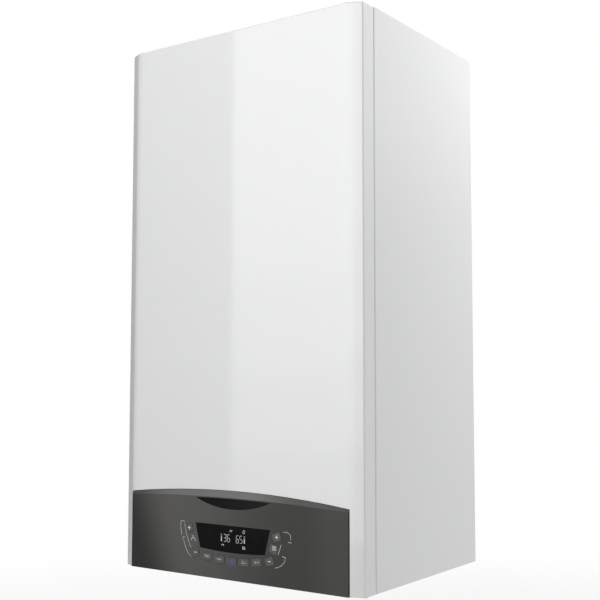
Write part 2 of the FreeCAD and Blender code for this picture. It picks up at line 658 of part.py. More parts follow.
def make_fascia():
    """A moulded panel: arched rim, bevelled front, window, badge recess, key holes and bosses."""
    body = new_body()
    back = sketch(body, "XZ", (0, 0, -FRONT), [fascia_outline(
        FASCIA_HALF, BASE, BASE + S.fascia_end, S.fascia_rise, as_size(0))])
    pad(body, back, FASCIA_BACK - FRONT, True)
    front = sketch(body, "XZ", (0, 0, -FACE), [fascia_outline(
        FASCIA_HALF - S.face_inset, BASE, BASE + S.face_end, S.face_rise, as_size(0))])
    loft = body.newObject("PartDesign::AdditiveLoft", "bevel")
    loft.Profile = back
    loft.Sections = [front]
    loft.Ruled = True
    doc.recompute()
    hollow = fascia_outline(FASCIA_HALF - S.fascia_wall, BASE + S.fascia_wall,
                            BASE + S.fascia_end - S.fascia_wall, S.fascia_rise, as_size(0))
    pocket(body, sketch(body, "XZ", (0, 0, -FASCIA_BACK), [hollow]), S.fascia_depth - S.front_wall, True)
    posts = []
    for side in (-1, 1):
        for z in (BASE + S.board_low + S.post_in, BASE + S.board_high - S.post_in):
            posts.append(((S.board_half - S.post_in) * side, z, S.post_radius))
    pad(body, sketch(body, "XZ", (0, 0, -WALL_BACK), (), posts), BOARD_FRONT - WALL_BACK, True)
    bosses = []
    for side in (-1, 1):
        for z in (BOX_LOW + S.boss_edge, BOX_TOP - S.boss_edge):
            bosses.append(((BOX_HALF - S.boss_in) * side, z, S.fascia_boss))
    pad(body, sketch(body, "XZ", (0, 0, -WALL_BACK), (), bosses), FASCIA_BACK - WALL_BACK, True)
    pocket(body, sketch(body, "XZ", (0, 0, -FACE), [lens_outline(S.inset_gap)]), S.lens_thick)
    pocket(body, sketch(body, "XZ", (0, 0, -FACE), [lens_outline(-S.lens_ledge)]), S.front_wall)
    pocket(body, sketch(body, "XZ", (0, 0, -FACE), [badge_outline(S.inset_gap)]), S.badge_thick)
    for name, x, z, lean, wide, tall in key_places():
        wide, tall = wide + S.key_gap, tall + S.key_gap
        hole = rounded(-wide, -tall, wide, tall, S.key_round + S.key_gap)
        pocket(body, sketch(body, "XZ", (x, z, -FACE), [hole], (), lean), S.front_wall)
    node(body, "control_fascia")


def make_inset(label, outline, thickness):
    body = new_body()
    pad(body, sketch(body, "XZ", (0, 0, -FACE), [outline]), thickness, True)
    node(body, label)


def make_keys():
    """Each key has a cap, a flange behind the panel and a plunger over its switch."""
    for name, x, z, lean, wide, tall in key_places():
        body = new_body()
        cap = rounded(-wide, -tall, wide, tall, S.key_round)
        drawing = sketch(body, "XZ", (x, z, S.key_proud - FACE), [cap], (), lean)
        pad(body, drawing, FLANGE_FRONT - FACE + S.key_proud, True)
        reach = S.key_flange
        flange = rounded(-wide - reach, -tall - reach, wide + reach, tall + reach, S.key_round)
        pad(body, sketch(body, "XZ", (x, z, -FLANGE_FRONT), [flange], (), lean), S.key_flange, True)
        back = -(FLANGE_FRONT + S.key_flange)
        stem = sketch(body, "XZ", (x, z, back), (), [(0, 0, S.plunger_radius)])
        pad(body, stem, S.plunger_length, True)
        node(body, name)


def make_boards():
    board = block((-S.board_half, S.board_half), (BOARD_FRONT, BOARD_FRONT + S.board_thick),
                  (BASE + S.board_low, BASE + S.board_high))
    cell = block((-S.cell_half, S.cell_half), (WALL_BACK + S.slip_gap, BOARD_FRONT),
                 (BASE + S.cell_low, BASE + S.cell_high))
    switches = []
    half = S.switch_half
    for name, x, z, lean, wide, tall in key_places():
        switches.append(block((x - half, x + half), (SWITCH_FRONT, BOARD_FRONT), (z - half, z + half)))
    node(fuse(board, cell, *switches), "display_board")
    back = BOX_REAR - S.box_wall - S.standoff
    front = back - S.board_thick
    low = BOX_LOW + S.main_edge
    pieces = [block((-MAIN_HALF, MAIN_HALF), (front, back), (low, BOX_TOP - S.main_edge))]
    left = S.main_edge - MAIN_HALF
    pieces.append(block((left, left + S.transformer_width), (front - S.transformer_depth, front),
                        (low + S.main_edge, low + S.main_edge + S.transformer_height)))
    for place in range(4):
        x = left + S.transformer_width + S.main_edge + S.relay_pitch * place
        pieces.append(block((x, x + S.relay_width), (front - S.relay_depth, front),
                            (low + S.main_edge, low + S.main_edge + S.relay_height)))
    for place in range(3):
        x = MAIN_HALF - S.main_edge * 2 - S.relay_pitch * place
        pieces.append(rod("y", (x, front - S.capacitor_length, low + S.main_edge * 2), S.capacitor_radius,
                          S.capacitor_length))
    node(fuse(*pieces), "main_board")


def make_electrical_box():
    """A tray behind the panel, open to the front, with a rim, standoffs, pin bosses and vents."""
    half, wall = BOX_HALF, S.box_wall
    shell = block((-half, half), (FASCIA_BACK, BOX_REAR), (BOX_LOW, BOX_TOP))
    hollow = block((wall - half, half - wall), (FASCIA_BACK + S.rim_depth, BOX_REAR - wall),
                   (BOX_LOW + wall, BOX_TOP - wall))
    rim = S.box_rim
    mouth = block((rim - half, half - rim), (FASCIA_BACK - S.overrun, FASCIA_BACK + S.rim_depth),
                  (BOX_LOW + rim, BOX_TOP - rim))
    slots = []
    middle = (BOX_LOW + BOX_TOP) / 2
    for place in range(int(S.vent_slots.value)):
        x = S.vent_pitch * place - S.vent_pitch * (S.vent_slots - 1) / 2
        slots.append(block((x - S.vent_width / 2, x + S.vent_width / 2),
                           (BOX_REAR - S.overrun, BOX_REAR + S.overrun),
                           (middle - S.vent_height / 2, middle + S.vent_height / 2)))
    extras = []
    bores = []
    for side in (-1, 1):
        for z in (BOX_LOW + S.main_edge * 2, BOX_TOP - S.main_edge * 2):
            x = (MAIN_HALF - S.main_edge) * side
            extras.append(rod("y", (x, BOX_REAR - wall - S.standoff, z), S.post_radius, S.standoff))
        low = -half if side < 0 else half - S.pin_seat
        extras.append(rod("x", (low, HINGE_Y, HINGE_Z), S.pin_boss, S.pin_seat))
        bores.append(rod("x", (low, HINGE_Y, HINGE_Z), S.pin_radius, S.pin_seat))
    node(cut(fuse(cut(shell, hollow, mouth, *slots), *extras), *bores), "electrical_box")


def make_hinges():
    """Pins pressed into the box turn in two plates that stand on the side sheets' front folds."""
    pins = []
    brackets = []
    screws = []
    outer = ARM_X + S.hinge_plate
    for side in (-1, 1):
        length = outer + S.slip_gap - BOX_HALF + S.pin_seat
        low = BOX_HALF - S.pin_seat if side > 0 else -(outer + S.slip_gap)
        head = outer + S.slip_gap if side > 0 else -(outer + S.slip_gap) - S.pin_head_thick
        pins.append(fuse(rod("x", (low, HINGE_Y, HINGE_Z), S.pin_radius, length),
                         rod("x", (head, HINGE_Y, HINGE_Z), S.pin_head, S.pin_head_thick)))
        brackets.append(hinge_bracket(side))
        x = (HALF - S.screw_set_in) * side
        y = SEAM - S.screw_set_back
        under = BASE - S.slip_gap
        tail = S.slip_gap + S.sheet + S.hinge_plate + S.cover_screw_tail
        screws.append(fuse(rod("z", (x, y, under), S.cover_screw, tail),
                           rod("z", (x, y, under - S.cover_screw_cap), S.cover_screw_head,
                               S.cover_screw_cap)))
    node(group(*pins), "hinge_pins")
    node(group(*brackets), "hinge_brackets")
    node(group(*screws), "cover_screws")


def hinge_bracket(side):
    """An arm with the pin's eye, a tab on the side sheet and a foot that takes the cover's screw."""
    body = new_body()
    eye = S.eye_radius
    arm = [
        (HINGE_Y, HINGE_Z - eye, -eye), (HINGE_Y - eye, HINGE_Z, -eye), (HINGE_Y, HINGE_Z + eye),
        (PANEL_FRONT, BASE + S.tab_high), (PANEL_FRONT, BASE + S.tab_low),
    ]
    start = ARM_X if side > 0 else -(ARM_X + S.hinge_plate)
    pad(body, sketch(body, "YZ", (0, 0, start), [arm]), S.hinge_plate)
    reach = HALF - S.sheet - S.tab_in
    inner = HALF - S.foot_tab_in
    foot = BASE + S.sheet
    tab = [
        (ARM_X * side, BASE + S.tab_low), (inner * side, BASE + S.tab_low), (inner * side, foot),
        (reach * side, foot), (reach * side, BASE + S.tab_high), (ARM_X * side, BASE + S.tab_high),
    ]
    pad(body, sketch(body, "XZ", (0, 0, -PANEL_FRONT), [tab]), S.hinge_plate - S.slip_gap * 2)
    shelf = [
        (inner * side, PANEL_FRONT), (reach * side, PANEL_FRONT), (reach * side, SEAM - S.foot_tab_reach),
        (inner * side, SEAM - S.foot_tab_reach),
    ]
    pad(body, sketch(body, "XY", (0, 0, foot), [shelf]), S.hinge_plate)
    hole = (HINGE_Y, HINGE_Z, S.pin_radius + S.pin_gap)
    pocket(body, sketch(body, "YZ", (0, 0, start), (), [hole]), S.hinge_plate, True)
    x = (HALF - S.screw_set_in) * side
    pocket(body, sketch(body, "XY", (0, 0, foot), (), [(x, SEAM - S.screw_set_back, S.cover_screw)]),
           S.hinge_plate, True)
    return body


def make_flue():
    """A coaxial collar on the top, two blanked air ports and the pipe from the exchanger."""
    at = (0, FLUE_Y)
    inner = S.flue_radius + S.flue_fit
    tube = inner + S.collar_wall
    spigot = cut(rod("z", (*at, TOP), S.collar_radius, S.collar_height),
                 rod("z", (*at, TOP), S.collar_radius - S.collar_wall, S.collar_height))
    flange = cut(rod("z", (*at, TOP), S.collar_flange, S.collar_plate),
                 rod("z", (*at, TOP), S.collar_radius - S.collar_wall, S.collar_plate))
    core = rod("z", (*at, TOP - S.collar_drop), tube, S.collar_height + S.collar_drop)
    reach = S.collar_radius - S.collar_wall / 2
    thin = S.collar_rib / 2
    ribs = [
        block((-reach, reach), (FLUE_Y - thin, FLUE_Y + thin), (TOP, TOP + S.collar_rib_height)),
        block((-thin, thin), (FLUE_Y - reach, FLUE_Y + reach), (TOP, TOP + S.collar_rib_height)),
    ]
    bore = rod("z", (*at, TOP - S.collar_drop), inner, S.collar_height + S.collar_drop)
    node(cut(fuse(spigot, flange, core, *ribs), bore), "flue_collar")

    caps = []
    for side in (-1, 1):
        x = S.cap_spread / 2 * side
        lid = rod("z", (x, FLUE_Y, TOP), S.cap_radius, S.cap_thick)
        plug = cut(rod("z", (x, FLUE_Y, TOP - S.cap_plug_depth), S.cap_plug, S.cap_plug_depth),
                   rod("z", (x, FLUE_Y, TOP - S.cap_plug_depth), S.cap_plug - S.cap_wall, S.cap_plug_depth))
        grip = block((x - S.cap_plug / 2, x + S.cap_plug / 2),
                     (FLUE_Y - S.cap_wall / 2, FLUE_Y + S.cap_wall / 2),
                     (TOP + S.cap_thick, TOP + S.cap_thick + S.cap_grip / 2))
        caps.append(fuse(lid, plug, grip))
    node(group(*caps), "intake_caps")

    body = new_body()
    low = SOCKET_TOP - S.socket_depth
    bell_low = TOP - S.collar_drop - S.flue_wall
    bell_in = tube + S.flue_fit
    r, wall = S.flue_radius, S.flue_wall
    profile = [
        (r - wall, low), (r, low), (r, bell_low - S.flue_wall), (bell_in + wall, bell_low),
        (bell_in + wall, bell_low + S.bell_rise), (bell_in, bell_low + S.bell_rise),
        (bell_in, bell_low + wall),
        (r - wall, bell_low + wall - S.flue_wall),
    ]
    revolve(body, sketch(body, "XZ", (0, 0, -FLUE_Y), [profile]))
    node(body, "flue_pipe")


SOCKET_TOP = SHELL_Z + SHELL + S.socket_rise - S.socket_depth


def make_exchanger():
    """A ribbed drum lying front to back, with a flue socket, pipe stubs, a drain and two feet."""
    depth = SHELL_BACK - SHELL_FRONT
    drum = rod("y", (SHELL_X, SHELL_FRONT, SHELL_Z), SHELL_BARREL, depth)
    ribs = []
    step = (depth - S.shell_rib_width) / (S.shell_ribs - 1)
    for place in range(int(S.shell_ribs.value)):
        ribs.append(rod("y", (SHELL_X, SHELL_FRONT + step * place, SHELL_Z), SHELL, S.shell_rib_width))
    adds = [rod("z", (0, FLUE_Y, SHELL_Z), S.socket_radius, SOCKET_TOP - SHELL_Z)]
    bores = [
        rod("y", (SHELL_X, SHELL_FRONT - S.overrun, SHELL_Z), CHAMBER, depth + S.overrun - S.shell_wall),
        rod("z", (0, FLUE_Y, SHELL_Z), S.flue_radius - S.flue_wall, SOCKET_TOP - SHELL_Z),
        rod("z", (0, FLUE_Y, SOCKET_TOP - S.socket_depth), S.flue_radius + S.flue_fit, S.socket_depth),
    ]
    for side in (-1, 1):
        x = SHELL_X + S.stub_spread * side
        adds.append(rod("z", (x, UNION_Y, STUB_LOW), S.stub_radius, SHELL_Z - STUB_LOW))
        foot = SHELL_X + S.foot_spread / 2 * side
        adds.append(block((foot - S.foot_width / 2, foot + S.foot_width / 2),
                          (SHELL_BACK - S.foot_depth, SHELL_BACK), (SHELF_TOP, SHELL_Z)))
    drain_low = SHELL_Z - SHELL - S.hose_lap
    adds.append(rod("z", (SHELL_X, DRAIN_Y, drain_low), S.drain_radius, SHELL_Z - drain_low))
    bores.append(rod("z", (SHELL_X, DRAIN_Y, drain_low), S.drain_radius - S.shell_wall,
                     SHELL_Z - drain_low))
    node(cut(fuse(drum, *ribs, *adds), *bores), "exchanger_shell")

    shelf = block((-INNER, INNER), (SHELL_BACK - S.shelf_depth / 2, SHELL_BACK + S.sheet),
                  (SHELF_TOP - S.sheet, SHELF_TOP))
    web = block((-INNER, INNER), (SHELL_BACK, SHELL_BACK + S.sheet), (SHELF_TOP - S.shelf_web, SHELF_TOP))
    node(fuse(shelf, web), "exchanger_support")

    coil = doc.addObject("Part::Feature", "coil")
    radius = (CHAMBER - S.coil_gap - S.coil_tube).value
    room = (depth - S.shell_wall - S.coil_tube * 2 - S.burner_end_gap).value
    turns = math.floor(room / S.coil_pitch.value)
    helix = Part.makeHelix(S.coil_pitch.value, turns * S.coil_pitch.value, radius)
    circle = Part.Circle(FreeCAD.Vector(radius, 0, 0), FreeCAD.Vector(0, 1, 0), S.coil_tube.value)
    ring = Part.Wire([circle.toShape()])
    coil.Shape = Part.Wire(helix.Edges).makePipeShell([ring], True, True)
    start = (SHELL_BACK - S.shell_wall - S.coil_tube - S.coil_gap).value
    coil.Placement = FreeCAD.Placement(
        FreeCAD.Vector(SHELL_X.value, start, SHELL_Z.value),
        FreeCAD.Rotation(FreeCAD.Vector(1, 0, 0), 90))
    node(coil, "exchanger_coil")

    end = SHELL_BACK - S.shell_wall - S.burner_end_gap
    tube = rod("y", (SHELL_X, SHELL_FRONT, SHELL_Z), S.burner_radius, end - SHELL_FRONT)
    flange = rod("y", (SHELL_X, SHELL_FRONT, SHELL_Z), S.burner_flange, S.burner_flange_thick)
    hollow = rod("y", (SHELL_X, SHELL_FRONT, SHELL_Z), S.burner_radius - S.burner_wall,
                 end - SHELL_FRONT - S.burner_wall)
    node(cut(fuse(tube, flange), hollow), "burner")

    electrode_z = SHELL_Z + S.electrode_out
    door = rod("y", (SHELL_X, DOOR_FRONT, SHELL_Z), SHELL, S.door_thick)
    neck = rod("y", (SHELL_X, DOOR_FRONT - S.neck_height, SHELL_Z), S.neck_radius, S.neck_height)
    gas_way = rod("y", (SHELL_X, DOOR_FRONT - S.neck_height, SHELL_Z), S.burner_radius - S.burner_wall,
                  S.neck_height + S.door_thick)
    rod_way = rod("y", (SHELL_X, DOOR_FRONT, electrode_z), S.electrode_rod + S.slip_gap, S.door_thick)
    node(cut(fuse(door, neck), gas_way, rod_way), "burner_door")

    half = S.electrode_plate / 2
    plate = block((SHELL_X - half, SHELL_X + half), (DOOR_FRONT - S.electrode_thick, DOOR_FRONT),
                  (electrode_z - S.electrode_height / 2, electrode_z + S.electrode_height / 2))
    stick = rod("y", (SHELL_X, DOOR_FRONT - S.electrode_front, electrode_z), S.electrode_rod,
                S.electrode_front + S.door_thick + S.electrode_in)
    node(fuse(plate, stick), "ignition_electrode")


CHAMBER = SHELL_BARREL - S.shell_wall


def make_wheel(label, centre, back, radius, disc, eye, height, blades, hub, shaft_front):
    """A bladed wheel on a shaft that points to the front; back is the plane of its open side."""
    body = new_body()
    x, z = centre
    at = (x, z, -back)
    face = back - height
    pad(body, sketch(body, "XZ", (x, z, -face), (), [(0, 0, radius)]), disc)
    pad(body, sketch(body, "XZ", (x, z, -face), (), [(0, 0, hub)]), disc * 2, True)
    pad(body, sketch(body, "XZ", (x, z, -face), (), [(0, 0, S.shaft_radius)]), face - shaft_front)
    lean = S.wheel_lean
    thick = S.wheel_blade
    blade = [
        (eye, 0), (radius * lean.cosine(), radius * lean.sine() / 2),
        (radius * lean.cosine(), radius * lean.sine() / 2 + thick), (eye, thick),
    ]
    drawing = sketch(body, "XZ", at, [blade])
    feature = pad(body, drawing, height, False)
    polar(body, feature, drawing, blades)
    node(body, label)


def make_fan():
    """A scroll with its outlet to the right, a motor in front, a wheel and the inlet mixer behind."""
    wall = S.fan_wall
    at_front = (FAN_X, FAN_FRONT, FAN_Z)
    right = FAN_X + S.fan_radius
    depth = (FAN_FRONT, FAN_BACK)
    drum = rod("y", at_front, S.fan_radius, FAN_DEPTH)
    duct = block((FAN_X, right), depth, (FAN_Z + S.outlet_low, FAN_Z + S.outlet_high))
    inside = rod("y", (FAN_X, FAN_FRONT + wall, FAN_Z), S.fan_radius - wall, FAN_DEPTH - wall * 2)
    way = block((FAN_X, right), (FAN_FRONT + wall, FAN_BACK - wall),
                (FAN_Z + S.outlet_low + wall, FAN_Z + S.outlet_high - wall))
    inlet = rod("y", (FAN_X, FAN_BACK - wall, FAN_Z), S.fan_inlet, wall)
    shaft_way = rod("y", at_front, S.wheel_hub, wall)
    node(cut(fuse(drum, duct), inside, way, inlet, shaft_way), "fan_volute")

    body = new_body()
    motor = sketch(body, "XZ", (FAN_X, FAN_Z, -FAN_FRONT), (), [(0, 0, S.fan_motor_radius)])
    pad(body, motor, FAN_MOTOR_LENGTH)
    round_edges(body, S.fan_round, lambda edge, mid: mid.y < MOTOR_FRONT.value + S.sheet.value)
    bore = sketch(body, "XZ", (FAN_X, FAN_Z, -FAN_FRONT), (), [(0, 0, S.shaft_radius + S.shaft_gap)])
    pocket(body, bore, S.shaft_in + S.slip_gap, True)
    node(body, "fan_motor")
    open_side = FAN_BACK - wall - S.wheel_clear
    make_wheel("fan_impeller", (FAN_X, FAN_Z), open_side, S.wheel_radius, S.wheel_disc, S.wheel_eye,
               S.wheel_height, S.fan_blades, S.wheel_hub - S.slip_gap * 2, FAN_FRONT - S.shaft_in)

    port_y = FAN_BACK + S.mixer_port_back
    port_top = FAN_Z + S.mixer_radius + S.mixer_port_rise
    barrel = rod("y", (FAN_X, FAN_BACK, FAN_Z), S.mixer_radius, S.mixer_length)
    port = rod("z", (FAN_X, port_y, FAN_Z), S.mixer_port, port_top - FAN_Z)
    spigot = rod("z", (FAN_X, port_y, GAS_SPIGOT_LOW), S.gas_spigot, FAN_Z - GAS_SPIGOT_LOW)
    hollow = rod("y", (FAN_X, FAN_BACK, FAN_Z), S.fan_inlet, S.mixer_length - wall)
    port_way = rod("z", (FAN_X, port_y, FAN_Z), S.mixer_port - wall, port_top - FAN_Z)
    node(cut(fuse(barrel, port, spigot), hollow, port_way), "gas_air_mixer")

    body = new_body()
    half_x, half_y = S.silencer_width / 2, S.silencer_depth / 2
    outline = rounded(-half_x, -half_y, half_x, half_y, S.silencer_round)
    pad(body, sketch(body, "XY", (FAN_X, port_y, port_top), [outline]), S.silencer_height)
    high = port_top + S.silencer_height
    wall = S.silencer_wall
    inner = rounded(wall - half_x, wall - half_y, half_x - wall, half_y - wall, S.silencer_round - wall)
    pocket(body, sketch(body, "XY", (FAN_X, port_y, high), [inner]), S.silencer_height - wall)
    pocket(body, sketch(body, "XY", (FAN_X, port_y, port_top), (), [(0, 0, S.silencer_mouth)]), wall, True)
    node(body, "intake_silencer")

    # the manifold runs from the scroll's outlet to the neck of the burner door
    front, back = FAN_FRONT + S.fan_wall, DOOR_FRONT - S.neck_height
    low, high = FAN_Z + S.outlet_low, FAN_Z + S.outlet_high
    body = new_body()
    upper, lower, r = S.duct_top_angle, S.duct_low_angle, S.duct_radius
    outline = [
        (right, low), (SHELL_X + r * lower.cosine(), SHELL_Z + r * lower.sine(), r),
        (SHELL_X + r, SHELL_Z, r), (SHELL_X + r * upper.cosine(), SHELL_Z + r * upper.sine()),
        (right, high),
    ]
    pad(body, sketch(body, "XZ", (0, 0, -front), [outline]), back - front, True)
    flat = FAN_FRONT + S.fan_wall + S.sheet / 2
    start = right + S.sheet
    round_edges(body, S.fan_round, lambda edge, mid: mid.y < flat.value and mid.x > start.value)
    way = [(0, 0, S.burner_radius - S.burner_wall)]
    pocket(body, sketch(body, "XZ", (SHELL_X, SHELL_Z, -back), (), way), back - front - S.duct_wall, True)
    node(body, "mixer_manifold")


GAS_SPIGOT_LOW = FAN_Z - S.mixer_radius - S.gas_spigot_drop


def make_vessel():
    """A flat round pressure vessel with a seam rim, on the rear frame, and its pipe."""
    body = new_body()
    centre_z = BASE + S.vessel_up
    edge = (VESSEL_THICK - S.vessel_rim_width) / 2
    r = S.vessel_radius
    mid = REAR_FRONT - VESSEL_THICK / 2
    rim = S.vessel_rim_width / 2
    profile = [
        (0, REAR_FRONT), (0, VESSEL_FRONT), (r - edge, VESSEL_FRONT, edge), (r, mid - rim),
        (r + S.vessel_rim, mid - rim), (r + S.vessel_rim, mid + rim), (r, mid + rim, edge),
        (r - edge, REAR_FRONT),
    ]
    revolve(body, sketch(body, "XY", (0, 0, centre_z), [profile]))
    low = centre_z - r - S.nipple_drop
    pad(body, sketch(body, "XY", (0, 0, low), (), [(0, mid, S.nipple_radius)]), r / 2)
    node(body, "expansion_vessel")
    back = UNION_Y + S.block_radius
    pipe("expansion_pipe", [
        (0, mid, low), (0, mid, BASE + S.expansion_run), (PUMP_X, mid, BASE + S.expansion_turn),
        (PUMP_X, mid, BASE + S.arm_up), (PUMP_X, back, BASE + S.arm_up),
    ], S.thin_pipe, S.pipe_bend)


TAP_X = S.union_pitch * 3 / 2
TAP_Y = -S.tap_out
RELIEF_Y = UNION_Y - S.block_radius - S.relief_length / 2


def make_blocks():
    """Two moulded water groups over the unions, with arms to the plate exchanger behind."""
    for side, label in ((-1, "flow_block"), (1, "return_block")):
        big, small = S.union_pitch * 2 * side, S.union_pitch * side
        bridge = BASE + S.bridge_up
        left = big if side < 0 else small
        pieces = [
            rod("z", (big, UNION_Y, PLATE_TOP), S.block_radius, BLOCK_TOP - PLATE_TOP),
            rod("z", (small, UNION_Y, PLATE_TOP), S.block_small, BASE + S.block_small_high - PLATE_TOP),
            rod("x", (left, UNION_Y, bridge), S.bridge_radius, S.union_pitch),
            rod("y", (small, UNION_Y, BASE + S.arm_up), S.arm_radius, S.union_out - S.plates_front),
            rod("y", (S.arm_in * side, UNION_Y, bridge), S.arm_radius, S.union_out - S.plates_front),
        ]
        bores = []
        if side < 0:
            at = (big, -S.neck_front, BASE + S.diverter_up)
            pieces.append(rod("y", at, S.diverter_neck, S.neck_front - S.union_out))
            depth = S.spindle_in + S.spindle_travel + S.slip_gap
            bores.append(rod("y", at, S.spindle_radius + S.slip_gap, depth))
        else:
            pieces.append(rod("y", (TAP_X, TAP_Y, bridge), S.tap_radius, S.tap_out - S.union_out))
            pieces.append(rod("z", (TAP_X, TAP_Y, BASE + S.tap_low), S.tap_radius, S.tap_high - S.tap_low))
            bores.append(rod("z", (TAP_X, TAP_Y, BASE + S.tap_low), S.tap_stem + S.shaft_gap,
                             S.bridge_up - S.tap_low))
        whole = fuse(*pieces)
        node(cut(whole, *bores), label)

    stem_low = BASE + S.tap_knob_low
    body = new_body()
    knob = sketch(body, "XY", (TAP_X, TAP_Y, stem_low), (), [(0, 0, S.tap_knob)])
    pad(body, knob, S.tap_knob_height)
    pad(body, sketch(body, "XY", (TAP_X, TAP_Y, stem_low), (), [(0, 0, S.tap_stem)]),
        S.bridge_up - S.tap_knob_low - S.slip_gap)
    grip = sketch(body, "XY", (TAP_X, TAP_Y, stem_low), (), [(S.tap_knob, 0, S.grip_cut)])
    polar(body, pocket(body, grip, S.tap_knob_height, True), grip, S.grip_cuts)
    node(body, "filling_knob")

    # the relief valve stands on the front of the return group and drains downwards
    relief_z = BASE + S.relief_up
    seat = UNION_Y - S.block_radius
    front = seat - S.relief_length
    drain_low = BASE + S.plate_up - S.relief_drain_drop
    barrel = rod("y", (PUMP_X, front, relief_z), S.relief_radius, S.relief_length + S.block_radius)
    drain = rod("z", (PUMP_X, RELIEF_Y, drain_low), S.relief_drain, relief_z - drain_low)
    past = rod("z", (PUMP_X, UNION_Y, PLATE_TOP), S.block_radius, BLOCK_TOP - PLATE_TOP)
    bore = rod("y", (PUMP_X, front, relief_z), S.relief_stem + S.shaft_gap, S.relief_knob_depth)
    node(cut(fuse(barrel, drain), past, bore), "safety_valve")
    body = new_body()
    at = (PUMP_X, relief_z, -(front - S.slip_gap))
    knob = sketch(body, "XZ", at, (), [(0, 0, S.relief_knob_radius)])
    pad(body, knob, S.relief_knob_depth)
    pad(body, sketch(body, "XZ", at, (), [(0, 0, S.relief_stem)]), S.relief_knob_depth, True)
    grip = sketch(body, "XZ", at, (), [(S.relief_knob_radius, 0, S.grip_cut)])
    polar(body, pocket(body, grip, S.relief_knob_depth, True), grip, S.grip_cuts)
    node(body, "relief_knob")

    plates = [block((S.plate_edge - S.plates_half, S.plates_half - S.plate_edge),
                    (-S.plates_front, S.plates_thick - S.plates_front),
                    (BASE + S.plates_low + S.plate_edge, BASE + S.plates_high - S.plate_edge))]
    step = (S.plates_thick - S.plate_thick) / (S.plate_count - 1)
    for place in range(int(S.plate_count.value)):
        y = step * place - S.plates_front
        plates.append(block((-S.plates_half, S.plates_half), (y, y + S.plate_thick),
                            (BASE + S.plates_low, BASE + S.plates_high)))
    node(fuse(*plates), "plate_heat_exchanger")


def make_unions():
    """Five threaded tails under the bottom plate: two large ones outside, gas in the middle."""
    low = BASE + S.plate_up - S.hex_height
    unions = []
    for place, radius in zip((-2, -1, 0, 1, 2), (S.thread_big, S.thread_small, S.thread_big, S.thread_small,
                                                 S.thread_big)):
        x = S.union_pitch * place
        thread = rod("z", (x, UNION_Y, low - S.thread_drop), radius, S.thread_drop)
        nut = hexagon((x, UNION_Y, low), radius + S.hex_margin, S.hex_height)
        spigot = rod("z", (x, UNION_Y, low), S.union_bore + S.spigot_margin, S.hex_height + S.sheet)
        bore = rod("z", (x, UNION_Y, low - S.thread_drop), S.union_bore,
                   S.thread_drop + S.hex_height + S.sheet)
        unions.append(cut(fuse(thread, nut, spigot), bore))
    node(group(*unions), "pipe_unions")


def make_pump():
    """An upright pump on the return group, its wet motor facing the front."""
    wall = S.pump_wall
    drum = rod("y", (PUMP_X, PUMP_FRONT, PUMP_Z), S.pump_radius, S.pump_depth)
    suction = rod("z", (PUMP_X, UNION_Y, BLOCK_TOP), S.pump_spigot, PUMP_Z - BLOCK_TOP)
    rise = S.pump_radius + S.pump_rise
    discharge = rod("z", (PUMP_X, UNION_Y, PUMP_Z), S.pump_spigot, rise)
    chamber = rod("y", (PUMP_X, PUMP_FRONT, PUMP_Z), S.pump_radius - wall, S.pump_depth - wall)
    node(cut(fuse(drum, suction, discharge), chamber), "pump_volute")

    length = PUMP_FRONT - PUMP_MOTOR_FRONT
    can = rod("y", (PUMP_X, PUMP_MOTOR_FRONT, PUMP_Z), S.pump_motor_radius, length)
    plug = rod("y", (PUMP_X, PUMP_MOTOR_FRONT - S.pump_plug_thick, PUMP_Z), S.pump_plug, S.pump_plug_thick)
    flange = rod("y", (PUMP_X, PUMP_FRONT - wall, PUMP_Z), S.pump_radius, wall)
    half = S.pump_box_width / 2
    terminal = block((PUMP_X - half, PUMP_X + half),
                     (PUMP_FRONT - wall - S.pump_box_depth, PUMP_FRONT - wall),
                     (PUMP_Z, PUMP_Z + S.pump_motor_radius + S.pump_box_height / 2))
    bore = rod("y", (PUMP_X, PUMP_FRONT - S.shaft_in - S.slip_gap, PUMP_Z), S.shaft_radius + S.shaft_gap,
               S.shaft_in + S.slip_gap)
    node(cut(fuse(can, plug, flange, terminal), bore), "pump_motor")
    open_side = PUMP_FRONT + S.wheel_clear + S.pump_wheel_height + S.wheel_disc
    make_wheel("pump_impeller", (PUMP_X, PUMP_Z), open_side, S.pump_wheel, S.wheel_disc, S.pump_eye,
               S.pump_wheel_height, S.pump_blades, S.wheel_hub, PUMP_FRONT - S.shaft_in)

    top = PUMP_Z + rise
    right = SHELL_X + S.stub_spread
    left = SHELL_X - S.stub_spread
    pipe("return_pipe", [
        (PUMP_X, UNION_Y, top), (PUMP_X, UNION_Y, BASE + S.return_level),
        (right, UNION_Y, BASE + S.pipe_level),
        (right, UNION_Y, STUB_LOW),
    ], S.water_pipe, S.pipe_bend)
    pipe("flow_pipe", [
        (left, UNION_Y, STUB_LOW), (left, UNION_Y, BASE + S.pipe_level - S.pipe_bend),
        (-PUMP_X, UNION_Y, BASE + S.pipe_level - S.pipe_bend), (-PUMP_X, UNION_Y, BLOCK_TOP),
    ], S.water_pipe, S.pipe_bend)


